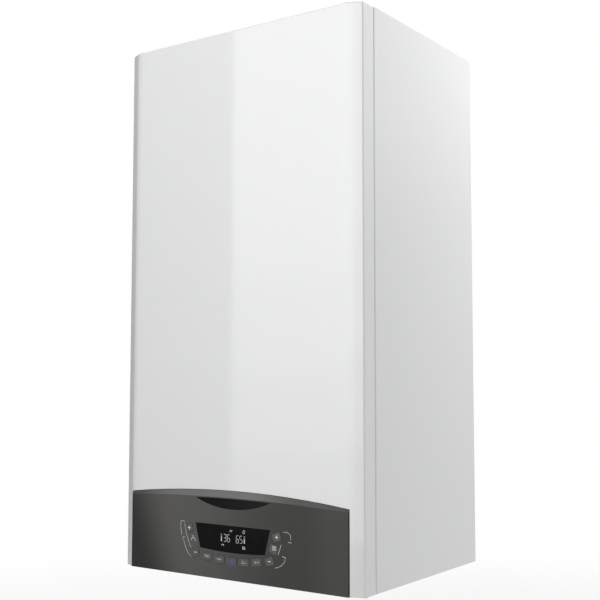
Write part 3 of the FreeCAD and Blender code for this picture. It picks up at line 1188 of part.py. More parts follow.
def make_diverter():
    """A motor head on a two-post yoke, with the spindle showing between it and the valve."""
    x, z = -PUMP_X, BASE + S.diverter_up
    face = -S.neck_front - S.yoke_gap
    body = new_body()
    half_x, half_z = S.actuator_width / 2, S.actuator_height / 2
    outline = rounded(-half_x, -half_z, half_x, half_z, S.actuator_round)
    pad(body, sketch(body, "XZ", (x, z, -face), [outline]), S.actuator_depth)
    posts = [(0, S.yoke_spread / 2 * side, S.yoke_post) for side in (-1, 1)]
    pad(body, sketch(body, "XZ", (x, z, -face), (), posts), S.yoke_gap, True)
    bore = sketch(body, "XZ", (x, z, -face), (), [(0, 0, S.spindle_radius + S.slip_gap)])
    pocket(body, bore, S.spindle_in + S.spindle_travel, True)
    node(body, "diverter_actuator")
    length = S.spindle_in + S.yoke_gap + S.spindle_in
    node(rod("y", (x, face - S.spindle_in, z), S.spindle_radius, length), "diverter_spindle")


def make_gas():
    """The gas valve with two magnet coils, its inlet pipe and the feed to the mixer."""
    x = -S.valve_x
    half_x, half_y = S.valve_width / 2, S.valve_depth / 2
    body = block((x - half_x, x + half_x), (VALVE_Y - half_y, VALVE_Y + half_y), (VALVE_LOW, VALVE_TOP))
    neck = S.valve_neck
    pieces = [
        rod("z", (x, VALVE_Y, VALVE_LOW - neck), S.valve_flange, S.valve_height + neck * 2),
    ]
    for place in (S.coil_inset, S.valve_height - S.coil_inset):
        pieces.append(rod("y", (x, VALVE_Y - half_y - S.coil_length, VALVE_LOW + place), S.coil_radius,
                          S.coil_length))
    node(fuse(body, *pieces), "gas_valve")
    port_y = FAN_BACK + S.mixer_port_back
    inlet = pipe(None, [
        (0, UNION_Y, PLATE_TOP), (0, UNION_Y, BASE + S.gas_turn),
        (x, VALVE_Y, VALVE_LOW - neck - S.pipe_bend * 2),
        (x, VALVE_Y, VALVE_LOW - neck),
    ], S.gas_pipe, S.pipe_bend)
    feed = pipe(None, [
        (x, VALVE_Y, VALVE_TOP + neck), (x, VALVE_Y, BASE + S.gas_run), (FAN_X, port_y, BASE + S.gas_run),
        (FAN_X, port_y, GAS_SPIGOT_LOW),
    ], S.gas_pipe, S.pipe_bend)
    node(group(inlet, feed), "gas_pipes")


def make_condensate():
    """A bottle trap under the exchanger, its hose above and its spigot through the bottom plate."""
    at = (SHELL_X, DRAIN_Y)
    body = new_body()
    r, spout, neck = S.siphon_radius, S.siphon_spigot, S.drain_radius
    rim, height = S.siphon_rim, S.siphon_rim_height
    low, high = BASE + S.siphon_low, BASE + S.siphon_high
    shoulder = BASE + S.plate_up - rim
    profile = [
        (0, BASE - S.siphon_drop), (spout, BASE - S.siphon_drop), (spout, shoulder), (spout + rim, shoulder),
        (spout + rim, low), (r, low), (r, high - height),
        (r + rim, high - height), (r + rim, high), (neck, high), (neck, BASE + S.siphon_neck),
        (0, BASE + S.siphon_neck),
    ]
    revolve(body, sketch(body, "XZ", (SHELL_X, 0, -DRAIN_Y), [profile]))
    node(body, "siphon_trap")
    hose_low = BASE + S.siphon_neck - S.hose_lap
    hose_high = SHELL_Z - SHELL - S.slip_gap
    bore = S.drain_radius + S.hose_fit
    node(cut(rod("z", (*at, hose_low), bore + S.hose_wall, hose_high - hose_low),
             rod("z", (*at, hose_low), bore, hose_high - hose_low)), "condensate_hose")


make_rear_frame()
make_hanging_bracket()
folded_panel(-1, "left_side_panel")
folded_panel(1, "right_side_panel")
make_top_panel()
make_bottom_plate()
make_front_cover()
make_fascia()
make_inset("badge_plate", badge_outline(as_size(0)), S.badge_thick)
make_inset("display_lens", lens_outline(as_size(0)), S.lens_thick)
make_keys()
make_boards()
make_electrical_box()
make_hinges()
make_flue()
make_exchanger()
make_fan()
make_vessel()
make_blocks()
make_unions()
make_pump()
make_diverter()
make_gas()
make_condensate()

doc.recompute()
for thing in doc.Objects:
    if "Invalid" in thing.State or "Error" in thing.State:
        raise RuntimeError(f"{thing.Label} failed: {thing.State}")
for thing in nodes:
    if thing.Shape.isNull() or not thing.Shape.isValid():
        raise RuntimeError(f"{thing.Label} has no valid shape")
os.makedirs("parts", exist_ok=True)
for thing in nodes:
    thing.Shape.exportStep(f"parts/{thing.Label}.step")
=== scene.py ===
import json
import math
import bmesh
import bpy
from mathutils import Matrix, Vector


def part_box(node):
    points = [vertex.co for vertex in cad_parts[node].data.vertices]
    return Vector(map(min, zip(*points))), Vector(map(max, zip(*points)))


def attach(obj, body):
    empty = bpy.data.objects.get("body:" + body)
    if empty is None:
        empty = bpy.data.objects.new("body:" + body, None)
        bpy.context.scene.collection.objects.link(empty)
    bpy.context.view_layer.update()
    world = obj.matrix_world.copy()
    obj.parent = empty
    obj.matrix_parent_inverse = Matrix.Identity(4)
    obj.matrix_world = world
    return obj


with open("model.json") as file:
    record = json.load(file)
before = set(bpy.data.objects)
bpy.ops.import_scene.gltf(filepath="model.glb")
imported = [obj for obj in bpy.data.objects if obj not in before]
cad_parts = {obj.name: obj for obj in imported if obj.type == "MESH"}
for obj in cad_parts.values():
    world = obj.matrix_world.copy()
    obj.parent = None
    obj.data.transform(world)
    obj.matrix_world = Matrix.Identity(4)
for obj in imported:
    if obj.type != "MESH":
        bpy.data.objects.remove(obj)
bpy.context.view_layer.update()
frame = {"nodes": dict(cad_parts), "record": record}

# Wall-hung gas boiler: finishes, printed marks and small fixings over the solid parts.
# Metres, +Z up, the front faces -Y. Flat drawings on the control panel are in millimetres:
# x from the middle, z from the casing's foot.

MM = 0.001
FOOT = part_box("left_side_panel")[0][2]
FASCIA_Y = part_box("control_fascia")[0][1]
KEY_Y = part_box("auto_key")[0][1]
LENS_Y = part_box("display_lens")[0][1]

# the flat face of the control panel ends in a shallow arch, below its chamfer
FACE_HALF = 0.1824
FACE_END = 0.102
FACE_RISE = 0.0055

# the cover's bevelled corners, and how far the paint is soft on either side of their front fold
COVER_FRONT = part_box("front_cover")[0][1]
COVER_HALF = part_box("front_cover")[1][0]
BEVEL_WIDE, BEVEL_DEEP = 0.017, 0.008
FOLD_REACH, FOLD_CREST = 0.009, 0.0005

# printed lines: their widths in millimetres; the height of the ink and the distance at which
# corners merge, in metres; and the cosine below which a sharp corner's mitre grows no longer
HAIR, FINE, LEGEND_LINE, PLAIN = 0.3, 0.5, 0.55, 0.6
SEGMENT_LINE, FIRM, BROAD, BOLD = 0.62, 0.7, 0.8, 0.9
INK = 0.00003
CELL_INK = 0.00002
MERGE = 1e-7
MITRE_LEAST = 0.5

# the seven strokes of a figure, on a grid one wide and two tall
SEGMENTS = {"a": ((0, 2), (1, 2)), "b": ((1, 2), (1, 1)), "c": ((1, 1), (1, 0)),
            "d": ((1, 0), (0, 0)), "e": ((0, 0), (0, 1)), "f": ((0, 1), (0, 2)),
            "g": ((0, 1), (1, 1))}
DIGITS = {"3": "abcdg", "5": "acdfg", "6": "acdefg"}
DIGIT_WIDE, DIGIT_TALL = 3.9, 9.4
DIGIT_GAP = 0.35
READING_Z = 54.6

# the line under the curved row of keys, and the part of it that is lit, in millimetres
ROW_LINE = 18.4
ROW_RADIUS = 277
LIT_HALF = 7.6

# the stage: the floor, the surround and the tall strips of light in front
WHITE = (1, 1, 1, 1)
FLOOR_DROP, FLOOR_HALF = 0.40, 9.0
FLOOR_PAINT = (0.86, 0.86, 0.86, 1)
SHADOW_SHARE, SHADOW_NEAR, SHADOW_FAR = 0.28, 0.7, 2.6
SURROUND_LIGHT = 0.25
STRIP_TOP, STRIP_AWAY = 1.5, -3.0
CARD_FOOT, CARD_TOP = -1.0, 1.3
CARD_PAINT = (0.02, 0.02, 0.02, 1)
MATT = 0.9


class Term:
    """A socket of a shader tree; arithmetic on it adds the nodes that work it out."""

    def __init__(self, shading, socket):
        self.shading = shading
        self.socket = socket

    def math(self, operation, *values):
        sockets = dict(enumerate(values))
        return self.shading.node("ShaderNodeMath", {"operation": operation}, sockets)

    def __add__(self, other):
        return self.math("ADD", self, other)

    def __radd__(self, other):
        return self.math("ADD", other, self)

    def __sub__(self, other):
        return self.math("SUBTRACT", self, other)

    def __rsub__(self, other):
        return self.math("SUBTRACT", other, self)

    def __mul__(self, other):
        return self.math("MULTIPLY", self, other)

    def __rmul__(self, other):
        return self.math("MULTIPLY", other, self)

    def root(self):
        return self.math("SQRT", self)

    def clamped(self):
        return self.math("MINIMUM", self.math("MAXIMUM", self, 0.0), 1.0)

    def between(self, low, high):
        """0 below low, 1 above high, smooth between."""
        settings = {"interpolation_type": "SMOOTHSTEP"}
        return self.shading.node("ShaderNodeMapRange", settings, {0: self, 1: low, 2: high})


class Shading:
    """A shader tree whose nodes are added by one method."""

    def __init__(self, tree):
        self.tree = tree

    def node(self, kind, settings=None, sockets=None, output=0):
        made = self.tree.nodes.new(kind)
        for name, value in (settings or {}).items():
            setattr(made, name, value)
        for name, value in (sockets or {}).items():
            if isinstance(value, Term):
                self.tree.links.new(value.socket, made.inputs[name])
            else:
                made.inputs[name].default_value = value
        return Term(self, made.outputs[output])

    def sight(self):
        """1 for rays that see: straight, mirrored or through glass. 0 for rays that light."""
        kinds = ("Is Camera Ray", "Is Glossy Ray", "Is Transmission Ray")
        straight, mirrored, through = [self.node("ShaderNodeLightPath", output=k) for k in kinds]
        return (straight + mirrored + through).clamped()

    def mixed(self, share, one, two):
        return self.node("ShaderNodeMixShader", None, {0: share, 1: one, 2: two})

    def show(self, surface, output):
        self.tree.links.new(surface.socket, self.tree.nodes[output].inputs["Surface"])


class Finish(Shading):
    """A material with one principled shader; even values are set on its sockets."""

    def __init__(self, name, **uniform):
        self.material = bpy.data.materials.new(name)
        self.material.use_nodes = True
        super().__init__(self.material.node_tree)
        self.shader = self.tree.nodes["Principled BSDF"]
        for socket, value in uniform.items():
            self.shader.inputs[socket.replace("_", " ")].default_value = value

    def place(self):
        return self.node("ShaderNodeTexCoord", output="Object")

    def axis(self, letter):
        return self.node("ShaderNodeSeparateXYZ", None, {0: self.place()}, letter)

    def stretched(self, scale):
        return self.node("ShaderNodeMapping", None, {"Vector": self.place(), "Scale": scale})

    def noise(self, scale, detail=2.0, stretch=None):
        where = self.stretched(stretch) if stretch else self.place()
        sockets = {"Vector": where, "Scale": scale, "Detail": detail}
        return self.node("ShaderNodeTexNoise", None, sockets)

    def cells(self, scale, output="Color"):
        sockets = {"Vector": self.place(), "Scale": scale}
        return self.node("ShaderNodeTexVoronoi", None, sockets, output)

    def blend(self, factor, low, high):
        sockets = {0: factor, 6: self.colour(low), 7: self.colour(high)}
        return self.node("ShaderNodeMix", {"data_type": "RGBA"}, sockets, 2)

    def colour(self, value):
        return value if isinstance(value, Term) else (*value, 1)

    def bump(self, height, strength, depth, over=None):
        """A bumped normal, on top of another one where it is given."""
        sockets = {"Height": height, "Strength": strength, "Distance": depth}
        if over:
            sockets["Normal"] = over
        return self.node("ShaderNodeBump", None, sockets)

    def feed(self, **terms):
        for socket, term in terms.items():
            self.tree.links.new(term.socket, self.shader.inputs[socket.replace("_", " ")])
        return self


def scaled(colour, by):
    return [min(c * by, 1) for c in colour]


def powder_coat(name, colour, rough=0.34, coat=0.9, rounded=None):
    """Baked paint: a fine orange peel, fine specks and slow cloudiness."""
    finish = Finish(name, Coat_Weight=coat, Coat_Roughness=0.045)
    peel = finish.noise(scale=900.0, detail=1.0)
    cloud = finish.noise(scale=7.0, detail=3.0)
    shade = finish.blend(cloud, scaled(colour, 0.985), colour)
    speck = finish.noise(scale=3500.0, detail=0.0).between(0.60, 0.72)
    tone = finish.blend(speck * 0.05, shade, scaled(colour, 0.6))
    fold = rounded and rounded(finish)
    return finish.feed(Base_Color=tone, Roughness=rough - 0.03 + cloud * 0.06,
                       Normal=finish.bump(peel, strength=0.06, depth=0.0004, over=fold))


def round_fold(finish):
    """The paint runs soft over the fold between the cover's front and its bevels."""
    across, back = finish.axis("X"), finish.axis("Y")
    beside = (across * across).root() - (COVER_HALF - BEVEL_WIDE)
    behind = back - COVER_FRONT
    away = (beside * beside + behind * behind + FOLD_CREST ** 2).root()
    near = (1 - away * (1 / FOLD_REACH)).clamped()
    dip = math.tan(math.atan2(BEVEL_DEEP, BEVEL_WIDE) / 2) * FOLD_REACH / 2
    return finish.bump(1 - near * near, strength=1.0, depth=dip)


def zinc_sheet(name, colour):
    """Galvanised sheet: spangle cells of unlike brightness, with a rolled streak."""
    finish = Finish(name, Metallic=0.85)
    spangle = finish.node("ShaderNodeSeparateColor", None, {0: finish.cells(scale=110.0)})
    streak = finish.noise(scale=60.0, stretch=(1.0, 1.0, 8.0))
    level = (spangle * 0.6 + streak * 0.4).clamped()
    tone = finish.blend(level, scaled(colour, 0.72), scaled(colour, 1.12))
    return finish.feed(Base_Color=tone, Roughness=0.34 + level * 0.18,
                       Normal=finish.bump(streak, strength=0.04, depth=0.0006))


def brushed(name, colour, stretch, rough=0.28):
    """Drawn or brushed metal: long fine scratches along one direction and a little tarnish."""
    finish = Finish(name, Metallic=1.0)
    line = finish.noise(scale=320.0, detail=3.0, stretch=stretch)
    tarnish = finish.noise(scale=26.0, detail=4.0).between(0.45, 0.75)
    tone = finish.blend(tarnish * 0.55, colour, scaled(colour, 0.62))
    return finish.feed(Base_Color=tone, Roughness=rough + line * 0.16 + tarnish * 0.12,
                       Normal=finish.bump(line, strength=0.05, depth=0.0003))


def casting(name, colour):
    """Die casting or sand casting: a pebbled skin with dull hollows."""
    finish = Finish(name, Metallic=1.0)
    pebble = finish.noise(scale=520.0, detail=4.0)
    patches = finish.noise(scale=34.0, detail=3.0).between(0.35, 0.7)
    tone = finish.blend(patches, scaled(colour, 0.78), colour)
    return finish.feed(Base_Color=tone, Roughness=0.45 + pebble * 0.15,
                       Normal=finish.bump(pebble, strength=0.18, depth=0.0006))


def moulded(name, colour, rough=0.42, grain=0.12, coat=0.0):
    """Injection-moulded plastic: a spark-eroded grain and slight flow marks."""
    finish = Finish(name, Coat_Weight=coat, Coat_Roughness=0.08)
    spark = finish.noise(scale=1400.0)
    flow = finish.noise(scale=14.0, stretch=(1.0, 1.0, 2.2))
    tone = finish.blend(flow, scaled(colour, 0.9), scaled(colour, 1.06))
    return finish.feed(Base_Color=tone, Roughness=rough - 0.04 + spark * 0.1,
                       Normal=finish.bump(spark, strength=grain, depth=0.0003))


def fascia_with_painted_light(name):
    """Dark grey flake paint, with painted shade low on the left, a painted reflection left of the
    middle and a painted highlight on the chamfer, palest near the middle.
    """
    # painted light: the face's colour in painted shade, and where a painted reflection lights it
    shaded, lit_face = (0.0090, 0.0088, 0.0084), (0.104, 0.102, 0.097)
    flake_tone = (0.062, 0.061, 0.0575)
    # the colours of the chamfer's painted highlight, at its ends and at its middle
    chamfer_highlight_end, chamfer_highlight_middle = (0.075, 0.0735, 0.07), (0.15, 0.147, 0.14)
    slant, slant_level, seam = 0.42, 0.05, 0.0001
    painted_shade_span, painted_reflection_fade_span, painted_reflection_rise_span = (-0.182, -0.090), (-0.10, 0.10), (0.11, 0.165)
    highlight_start, highlight_end = (-0.185, -0.105), (0.02, 0.11)

    finish = Finish(name, Coat_Weight=0.04, Coat_Roughness=0.3, Metallic=0.2,
                    Specular_IOR_Level=0.13)
    flake = finish.cells(scale=2600.0, output="Distance").between(0.1, 0.5)
    across, height = finish.axis("X"), finish.axis("Z") - FOOT
    # painted shade: darker towards the left end, reaching further right lower down
    shade = (across + (height - slant_level) * slant).between(*painted_shade_span)
    # painted reflection: lightest left of the middle, dimmer towards the right, a little lighter
    # again at the right end
    painted_reflection_fade, painted_reflection_rise = across.between(*painted_reflection_fade_span) * 0.68, across.between(*painted_reflection_rise_span) * 0.18
    base = finish.blend(shade * (1 - painted_reflection_fade + painted_reflection_rise), shaded, lit_face)
    tone = finish.blend(flake * 0.3, base, flake_tone)

    radius = (FACE_HALF ** 2 + FACE_RISE ** 2) / FACE_RISE / 2
    climb = height - (FACE_END + FACE_RISE - radius)
    beyond = (across * across + climb * climb).root() - radius
    # painted highlight: the chamfer above the arch is painted paler, as light from above falls on
    # it, palest near the middle
    middle = across.between(*highlight_start) * (1 - across.between(*highlight_end))
    pale = finish.blend(middle, chamfer_highlight_end, chamfer_highlight_middle)
    edge = finish.blend(beyond.between(-seam, seam), tone, pale)
    return finish.feed(Base_Color=edge, Roughness=0.36 + flake * 0.1,
                       Normal=finish.bump(flake, strength=0.05, depth=0.0002))


def gloss_window(name, colour):
    """Tinted window or lacquered plate: deep gloss with the faintest smear."""
    finish = Finish(name, Specular_IOR_Level=0.05)
    smear = finish.noise(scale=38.0, detail=4.0, stretch=(1.0, 1.0, 2.5)).between(0.45, 0.8)
    tone = finish.blend(smear, colour, scaled(colour, 1.5))
    return finish.feed(Base_Color=tone, Roughness=0.09 + smear * 0.07)


def circuit_board(name):
    """Green resist with copper tracks under it."""
    resist, copper_below = (0.012, 0.10, 0.035), (0.05, 0.19, 0.07)
    finish = Finish(name, Coat_Weight=0.3, Coat_Roughness=0.1)
    track = finish.cells(scale=260.0, output="Distance").between(0.42, 0.5)
    weave = finish.noise(scale=700.0, detail=1.0)
    tone = finish.blend(track, resist, copper_below)
    return finish.feed(Base_Color=tone, Roughness=0.3 + weave * 0.1,
                       Normal=finish.bump(track, strength=0.1, depth=0.0002))


def printed(name, colour, glow=0.0):
    """Screen print: slightly uneven ink, lit from behind where glow is given."""
    finish = Finish(name, Emission_Strength=glow)
    ink = finish.noise(scale=1600.0)
    tone = finish.blend(ink, scaled(colour, 0.88), colour)
    finish.feed(Base_Color=tone, Roughness=0.45 + ink * 0.1)
    if glow:
        finish.feed(Emission_Color=tone)
    return finish


CASING_WHITE = (0.80, 0.805, 0.81)
FINISHES = {
    "white_paint": powder_coat("white_powder_coat", CASING_WHITE),
    "zinc_steel": zinc_sheet("galvanised_sheet", (0.60, 0.61, 0.62)),
    "fascia_grey": fascia_with_painted_light("fascia_flake_and_painted_light"),
    "gloss_black": gloss_window("black_window", (0.004, 0.004, 0.0042)),
    "key_blue": moulded("blue_key", (0.046, 0.047, 0.060), rough=0.38, grain=0.08),
    "key_grey": moulded("key_grey", (0.052, 0.0512, 0.049), rough=0.38, grain=0.08),
    "board_green": circuit_board("circuit_board"),
    "black_plastic": moulded("black_moulding", (0.020, 0.020, 0.022)),
    "steel": brushed("plated_steel", (0.62, 0.62, 0.60), stretch=(1.0, 1.0, 0.1)),
    "white_plastic": moulded("white_moulding", (0.72, 0.72, 0.69), rough=0.4),
    "stainless": brushed("stainless_sheet", (0.60, 0.585, 0.56), stretch=(0.06, 1.0, 1.0)),
    "cast_aluminium": casting("cast_aluminium", (0.58, 0.585, 0.59)),
    "ceramic": moulded("glazed_ceramic", (0.78, 0.75, 0.68), rough=0.2, grain=0.03, coat=0.4),
    "red_paint": powder_coat("red_baked_paint", (0.42, 0.025, 0.02), coat=0.2),
    "copper": brushed("drawn_copper", (0.72, 0.38, 0.24), stretch=(1.0, 1.0, 0.08), rough=0.24),
    "dark_composite": moulded("glass_filled_black", (0.032, 0.032, 0.035), rough=0.48, grain=0.22),
    "knob_blue": moulded("blue_knob", (0.025, 0.11, 0.38)),
    "knob_red": moulded("red_knob", (0.45, 0.025, 0.02)),
    "brass": brushed("turned_brass", (0.68, 0.50, 0.24), stretch=(1.0, 1.0, 6.0), rough=0.22),
    "motor_paint": powder_coat("motor_paint", (0.055, 0.06, 0.066), rough=0.4, coat=0.1),
    "trap_grey": moulded("grey_trap", (0.33, 0.34, 0.35)),
    "rubber": moulded("black_rubber", (0.022, 0.022, 0.022), rough=0.62, grain=0.3),
}
COVER_PAINT = powder_coat("cover_powder_coat", CASING_WHITE, rounded=round_fold)
PRINT = printed("pale_print", (0.74, 0.74, 0.72))
SIGN = printed("key_sign", (0.82, 0.82, 0.80), glow=0.12)
LEGEND = printed("key_legend", (0.66, 0.66, 0.64))
SEGMENT = printed("lit_segments", (0.58, 0.60, 0.61), glow=0.2)
BLUE_LIGHT = printed("blue_light", (0.05, 0.07, 0.30), glow=0.15)

for part in frame["record"]["subparts"]:
    folded = part["node"] == "front_cover"
    finish = COVER_PAINT if folded else FINISHES[part["material_slot"]]
    shown = frame["nodes"][part["node"]]
    if not shown.material_slots:
        shown.data.materials.append(finish.material)
    for place in shown.material_slots:
        place.material = finish.material


def placed(name, data):
    """A new object of the scene."""
    made = bpy.data.objects.new(name, data)
    bpy.context.scene.collection.objects.link(made)
    return made


def mesh_of(shape, name):
    mesh = bpy.data.meshes.new(name)
    shape.to_mesh(mesh)
    shape.free()
    return mesh


def piece(name, mesh, finish, body):
    """A finished object at the origin that rides on a body."""
    made = placed(name, mesh)
    mesh.materials.append(finish.material)
    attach(made, body)


def drawn(name, shape, finish, body):
    """A piece made from a drawing: shared corners merge and faces turn outwards."""
    bmesh.ops.remove_doubles(shape, verts=shape.verts, dist=MERGE)
    bmesh.ops.recalc_face_normals(shape, faces=shape.faces)
    piece(name, mesh_of(shape, name), finish, body)


def on_panel(point, y):
    """A point of a flat drawing on a plane that faces the front."""
    return Vector((point[0] * MM, y, FOOT + point[1] * MM))


def ribbon(shape, path, width, y, rise=INK):
    """A printed line: a flat closed strip along a path, a hair above its plane."""
    points = [Vector(p) for p in path]
    rails = []
    for i, here in enumerate(points):
        before = points[max(i - 1, 0)]
        after = points[min(i + 1, len(points) - 1)]
        run = (here - before).normalized() + (after - here).normalized()
        run = run.normalized() if run.length else Vector((1, 0))
        across = Vector((-run.y, run.x))
        whole = (here - before).normalized() if before != here else run
        square = Vector((-whole.y, whole.x))
        reach = width / 2 / max(abs(across.dot(square)), MITRE_LEAST)
        rails.append((here + across * reach, here - across * reach))
    rings = []
    for left, right in rails:
        below = [on_panel(left, y), on_panel(right, y)]
        above = [on_panel(right, y - rise), on_panel(left, y - rise)]
        rings.append([shape.verts.new(corner) for corner in below + above])
    for one, two in zip(rings, rings[1:]):
        for k in range(4):
            shape.faces.new((one[k], one[(k + 1) % 4], two[(k + 1) % 4], two[k]))
    shape.faces.new(rings[0])
    shape.faces.new(rings[-1])


def ribbons(shape, lines, y):
    """Printed lines, each given by its width and its path."""
    for width, path in lines:
        ribbon(shape, path, width, y)


def patch(shape, outline, y, rise=INK):
    """A printed area: a flat closed plate with the given outline."""
    back = [shape.verts.new(on_panel(p, y)) for p in outline]
    front = [shape.verts.new(on_panel(p, y - rise)) for p in outline]
    shape.faces.new(back)
    shape.faces.new(front)
    count = len(outline)
    for i in range(count):
        after = (i + 1) % count
        shape.faces.new((back[i], back[after], front[after], front[i]))


def rectangle(low, high):
    return [low, (high[0], low[1]), high, (low[0], high[1])]


def arc(centre, radius, start, end, steps=12):
    points = []
    for i in range(steps + 1):
        angle = math.radians(start + (end - start) * i / steps)
        points.append((centre[0] + radius * math.cos(angle),
                       centre[1] + radius * math.sin(angle)))
    return points


def smooth(*points, steps=8):
    """A soft curve through a few drawn points."""
    knots = [Vector(p) for p in points]
    knots = [knots[0] * 2 - knots[1]] + knots + [knots[-1] * 2 - knots[-2]]
    curve = []
    for i in range(1, len(knots) - 2):
        a, b, c, d = knots[i - 1:i + 3]
        for k in range(steps):
            t = k / steps
            curve.append((b * 2 + (c - a) * t + (a * 2 - b * 5 + c * 4 - d) * t * t
                          + (b * 3 - a - c * 3 + d) * t * t * t) / 2)
    curve.append(knots[-2])
    return curve


def turned(points, centre, lean):
    spin = Matrix.Rotation(math.radians(lean), 2)
    return [spin @ Vector(p) + Vector(centre) for p in points]


def digit(shape, figure, x):
    """One figure of the reading."""
    for name in DIGITS[figure]:
        ends = []
        for column, row in SEGMENTS[name]:
            ends.append(Vector((x + (column - 0.5) * DIGIT_WIDE,
                                READING_Z + (row - 1) * DIGIT_TALL / 2)))
        gap = (ends[1] - ends[0]).normalized() * DIGIT_GAP
        ribbon(shape, [ends[0] + gap, ends[1] - gap], SEGMENT_LINE, LENS_Y)


def make_display():
    """The lit reading on the window: two numbers, two bars and small signs."""
    shape = bmesh.new()
    for figure, x in (("3", -11.5), ("6", -5.5), ("6", 9.5), ("5", 15.5)):
        digit(shape, figure, x)
    foot, full, top = 50, 56, 59.4
    half, inner = 0.8, 0.7
    for x in (-17.6, 21.2):
        patch(shape, rectangle((x - half, foot), (x + half, full)), LENS_Y)
        empty = [(x - inner, full), (x - inner, top), (x + inner, top), (x + inner, full)]
        ribbon(shape, empty, HAIR, LENS_Y)
    tap = [(-17.8, 44.2), (-16.4, 45.8), (-13.8, 45.8), (-13.8, 43.6)]
    radiator = [18.4 + k * 1.2 for k in range(4)]
    leaf = smooth((-3.6, 62.6), (-1.8, 65.6), (-0.6, 63.8), (0.6, 65.6))
    flame = smooth((20, 62.4), (18.4, 64.2), (20.2, 67), (21.8, 64.4), (20.4, 62.4))
    ribbons(shape, [
        (FIRM, tap),
        *[(PLAIN, [(x, 42.2), (x, 46.2)]) for x in radiator],
        (PLAIN, leaf),
        (PLAIN, flame),
    ], LENS_Y)
    drawn("display_reading", shape, SEGMENT, "control_panel")


def make_brackets():
    """Fine brackets on the panel that tie the keys to their signs."""
    shape = bmesh.new()
    ribbons(shape, [
        (FINE, smooth((-82.5, 69.2), (-83.4, 71), (-87.6, 71.2), (-89.4, 69.6), (-89.6, 62),
                      (-87.6, 52))),
        (FINE, smooth((-84.5, 46.5), (-82, 40), (-77, 30), (-71, 25.4))),
        (FINE, smooth((-87, 47), (-85, 49.5), (-82.2, 50.4))),
        (FINE, smooth((-82.6, 68), (-81.3, 62), (-79.6, 55.5), (-76.8, 48.5), (-73.5, 41.5),
                      (-70.6, 36.6))),
        (FINE, smooth((84, 70), (90, 70.4), (95.4, 67), (96, 61))),
        (FIRM, [(92, 58.4), (97, 57.6)]),
        (PLAIN, smooth((80.8, 54), (78.4, 47), (75.8, 41))),
        (FINE, smooth((87.4, 37), (86, 33), (80, 27), (71, 23.6))),
        (FIRM, [(83, 39.4), (88.4, 38)]),
    ], FASCIA_Y)
    drawn("panel_brackets", shape, PRINT, "control_panel")


def make_signs():
    """The tap and radiator signs beside the window, each on a printed cell."""
    cells = bmesh.new()
    for side in (-1, 1):
        corners = rectangle((-6.2, -5.4), (6.2, 5.4))
        cell = turned(corners, (68.4 * side, 47.2), lean=-18.8 * side)
        patch(cells, cell, FASCIA_Y, CELL_INK)
    drawn("sign_cells", cells, FINISHES["key_grey"], "control_panel")

    signs = bmesh.new()
    tap = smooth((-70.6, 46.6), (-69, 49.4), (-66, 50), (-63.6, 48.6), (-63, 45.6))
    radiator = [67.0 + k * 1.8 for k in range(4)]
    ribbons(signs, [
        (BOLD, tap),
        (FIRM, [(-67.4, 50), (-67.4, 52.2)]),
        (FIRM, [(-69.2, 52.4), (-65.6, 52.4)]),
        *[(BROAD, [(x, 45.6), (x, 51.6)]) for x in radiator],
        (FINE, [(66.4, 50.4), (73.0, 50.4)]),
        (FINE, [(66.4, 46.8), (73.0, 46.8)]),
    ], FASCIA_Y - CELL_INK)
    drawn("panel_signs", signs, LEGEND, "control_panel")


def key_centre(key):
    low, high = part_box(key)
    return ((low[0] + high[0]) / 2 / MM, ((low[2] + high[2]) / 2 - FOOT) / MM)


def legend(key, strokes, lean=0.0, finish=LEGEND, width=LEGEND_LINE):
    """The sign printed on a key's cap; it moves with the key."""
    shape = bmesh.new()
    for stroke in strokes:
        ribbon(shape, turned(stroke, key_centre(key), lean), width, KEY_Y)
    drawn(key.replace("_key", "_legend"), shape, finish, key)


def make_legends():
    """Plus and minus signs, and plain strokes on the row of keys, which lean with the row."""
    row_step = 4.3
    for key in ("water_plus_key", "heating_plus_key"):
        legend(key, [[(-2.5, 0), (2.5, 0)], [(0, -2.5), (0, 2.5)]], finish=SIGN, width=BOLD)
    for key in ("water_minus_key", "heating_minus_key"):
        legend(key, [[(-2.3, 0), (2.3, 0)]], finish=SIGN, width=BOLD)
    box = [(-4, -1), (-4, 1.2), (-2.4, 1.2), (-2.4, -1), (-4, -1)]
    legend("mode_key", [box, [(-1, 0.9), (3.6, 0.9)], [(-1, -0.7), (2.6, -0.7)]], -2 * row_step)
    wave = smooth((-4.2, -0.4), (-2.8, 0.9), (-1.4, -0.4), (0, 0.9), (1.4, -0.4), (2.8, 0.9),
                  (4.2, -0.4))
    legend("comfort_key", [wave], -row_step)
    legend("auto_key", [arc((0, 0), 2.3, 60, 420), [(0, 0.4), (0, 2.9)]],
           finish=BLUE_LIGHT, width=FIRM)
    legend("reset_key", [arc((-1.4, 0), 1.6, 40, 330), [(1.2, -0.6), (4, -0.6)]], row_step)
    arrow = [[(-3.6, 0), (-1.8, 1.5)], [(-3.6, 0), (-1.8, -1.5)], [(-3.6, 0), (0.4, 0)]]
    hook = smooth((1.6, -0.9), (2.8, 0.6), (4.2, -0.9))
    legend("escape_key", arrow + [hook], 2 * row_step)


def under_row(start, end):
    """A curve that follows the row of keys from below."""
    spots = (start, (start + end) / 2, end)
    return smooth(*[(x, ROW_LINE + x * x / ROW_RADIUS / 2) for x in spots])


def make_key_light():
    """A blue arc lit under the middle key, in a dark line under the whole row."""
    line = bmesh.new()
    for start, end in ((-53, -LIT_HALF), (LIT_HALF, 49)):
        ribbon(line, under_row(start, end), BROAD, FASCIA_Y)
    drawn("key_row_line", line, FINISHES["black_plastic"], "control_panel")
    shape = bmesh.new()
    ribbon(shape, under_row(-LIT_HALF, LIT_HALF), PLAIN, FASCIA_Y)
    drawn("key_light", shape, BLUE_LIGHT, "control_panel")


SOCKET_KINDS = {int: "NodeSocketInt", float: "NodeSocketFloat", tuple: "NodeSocketVector"}


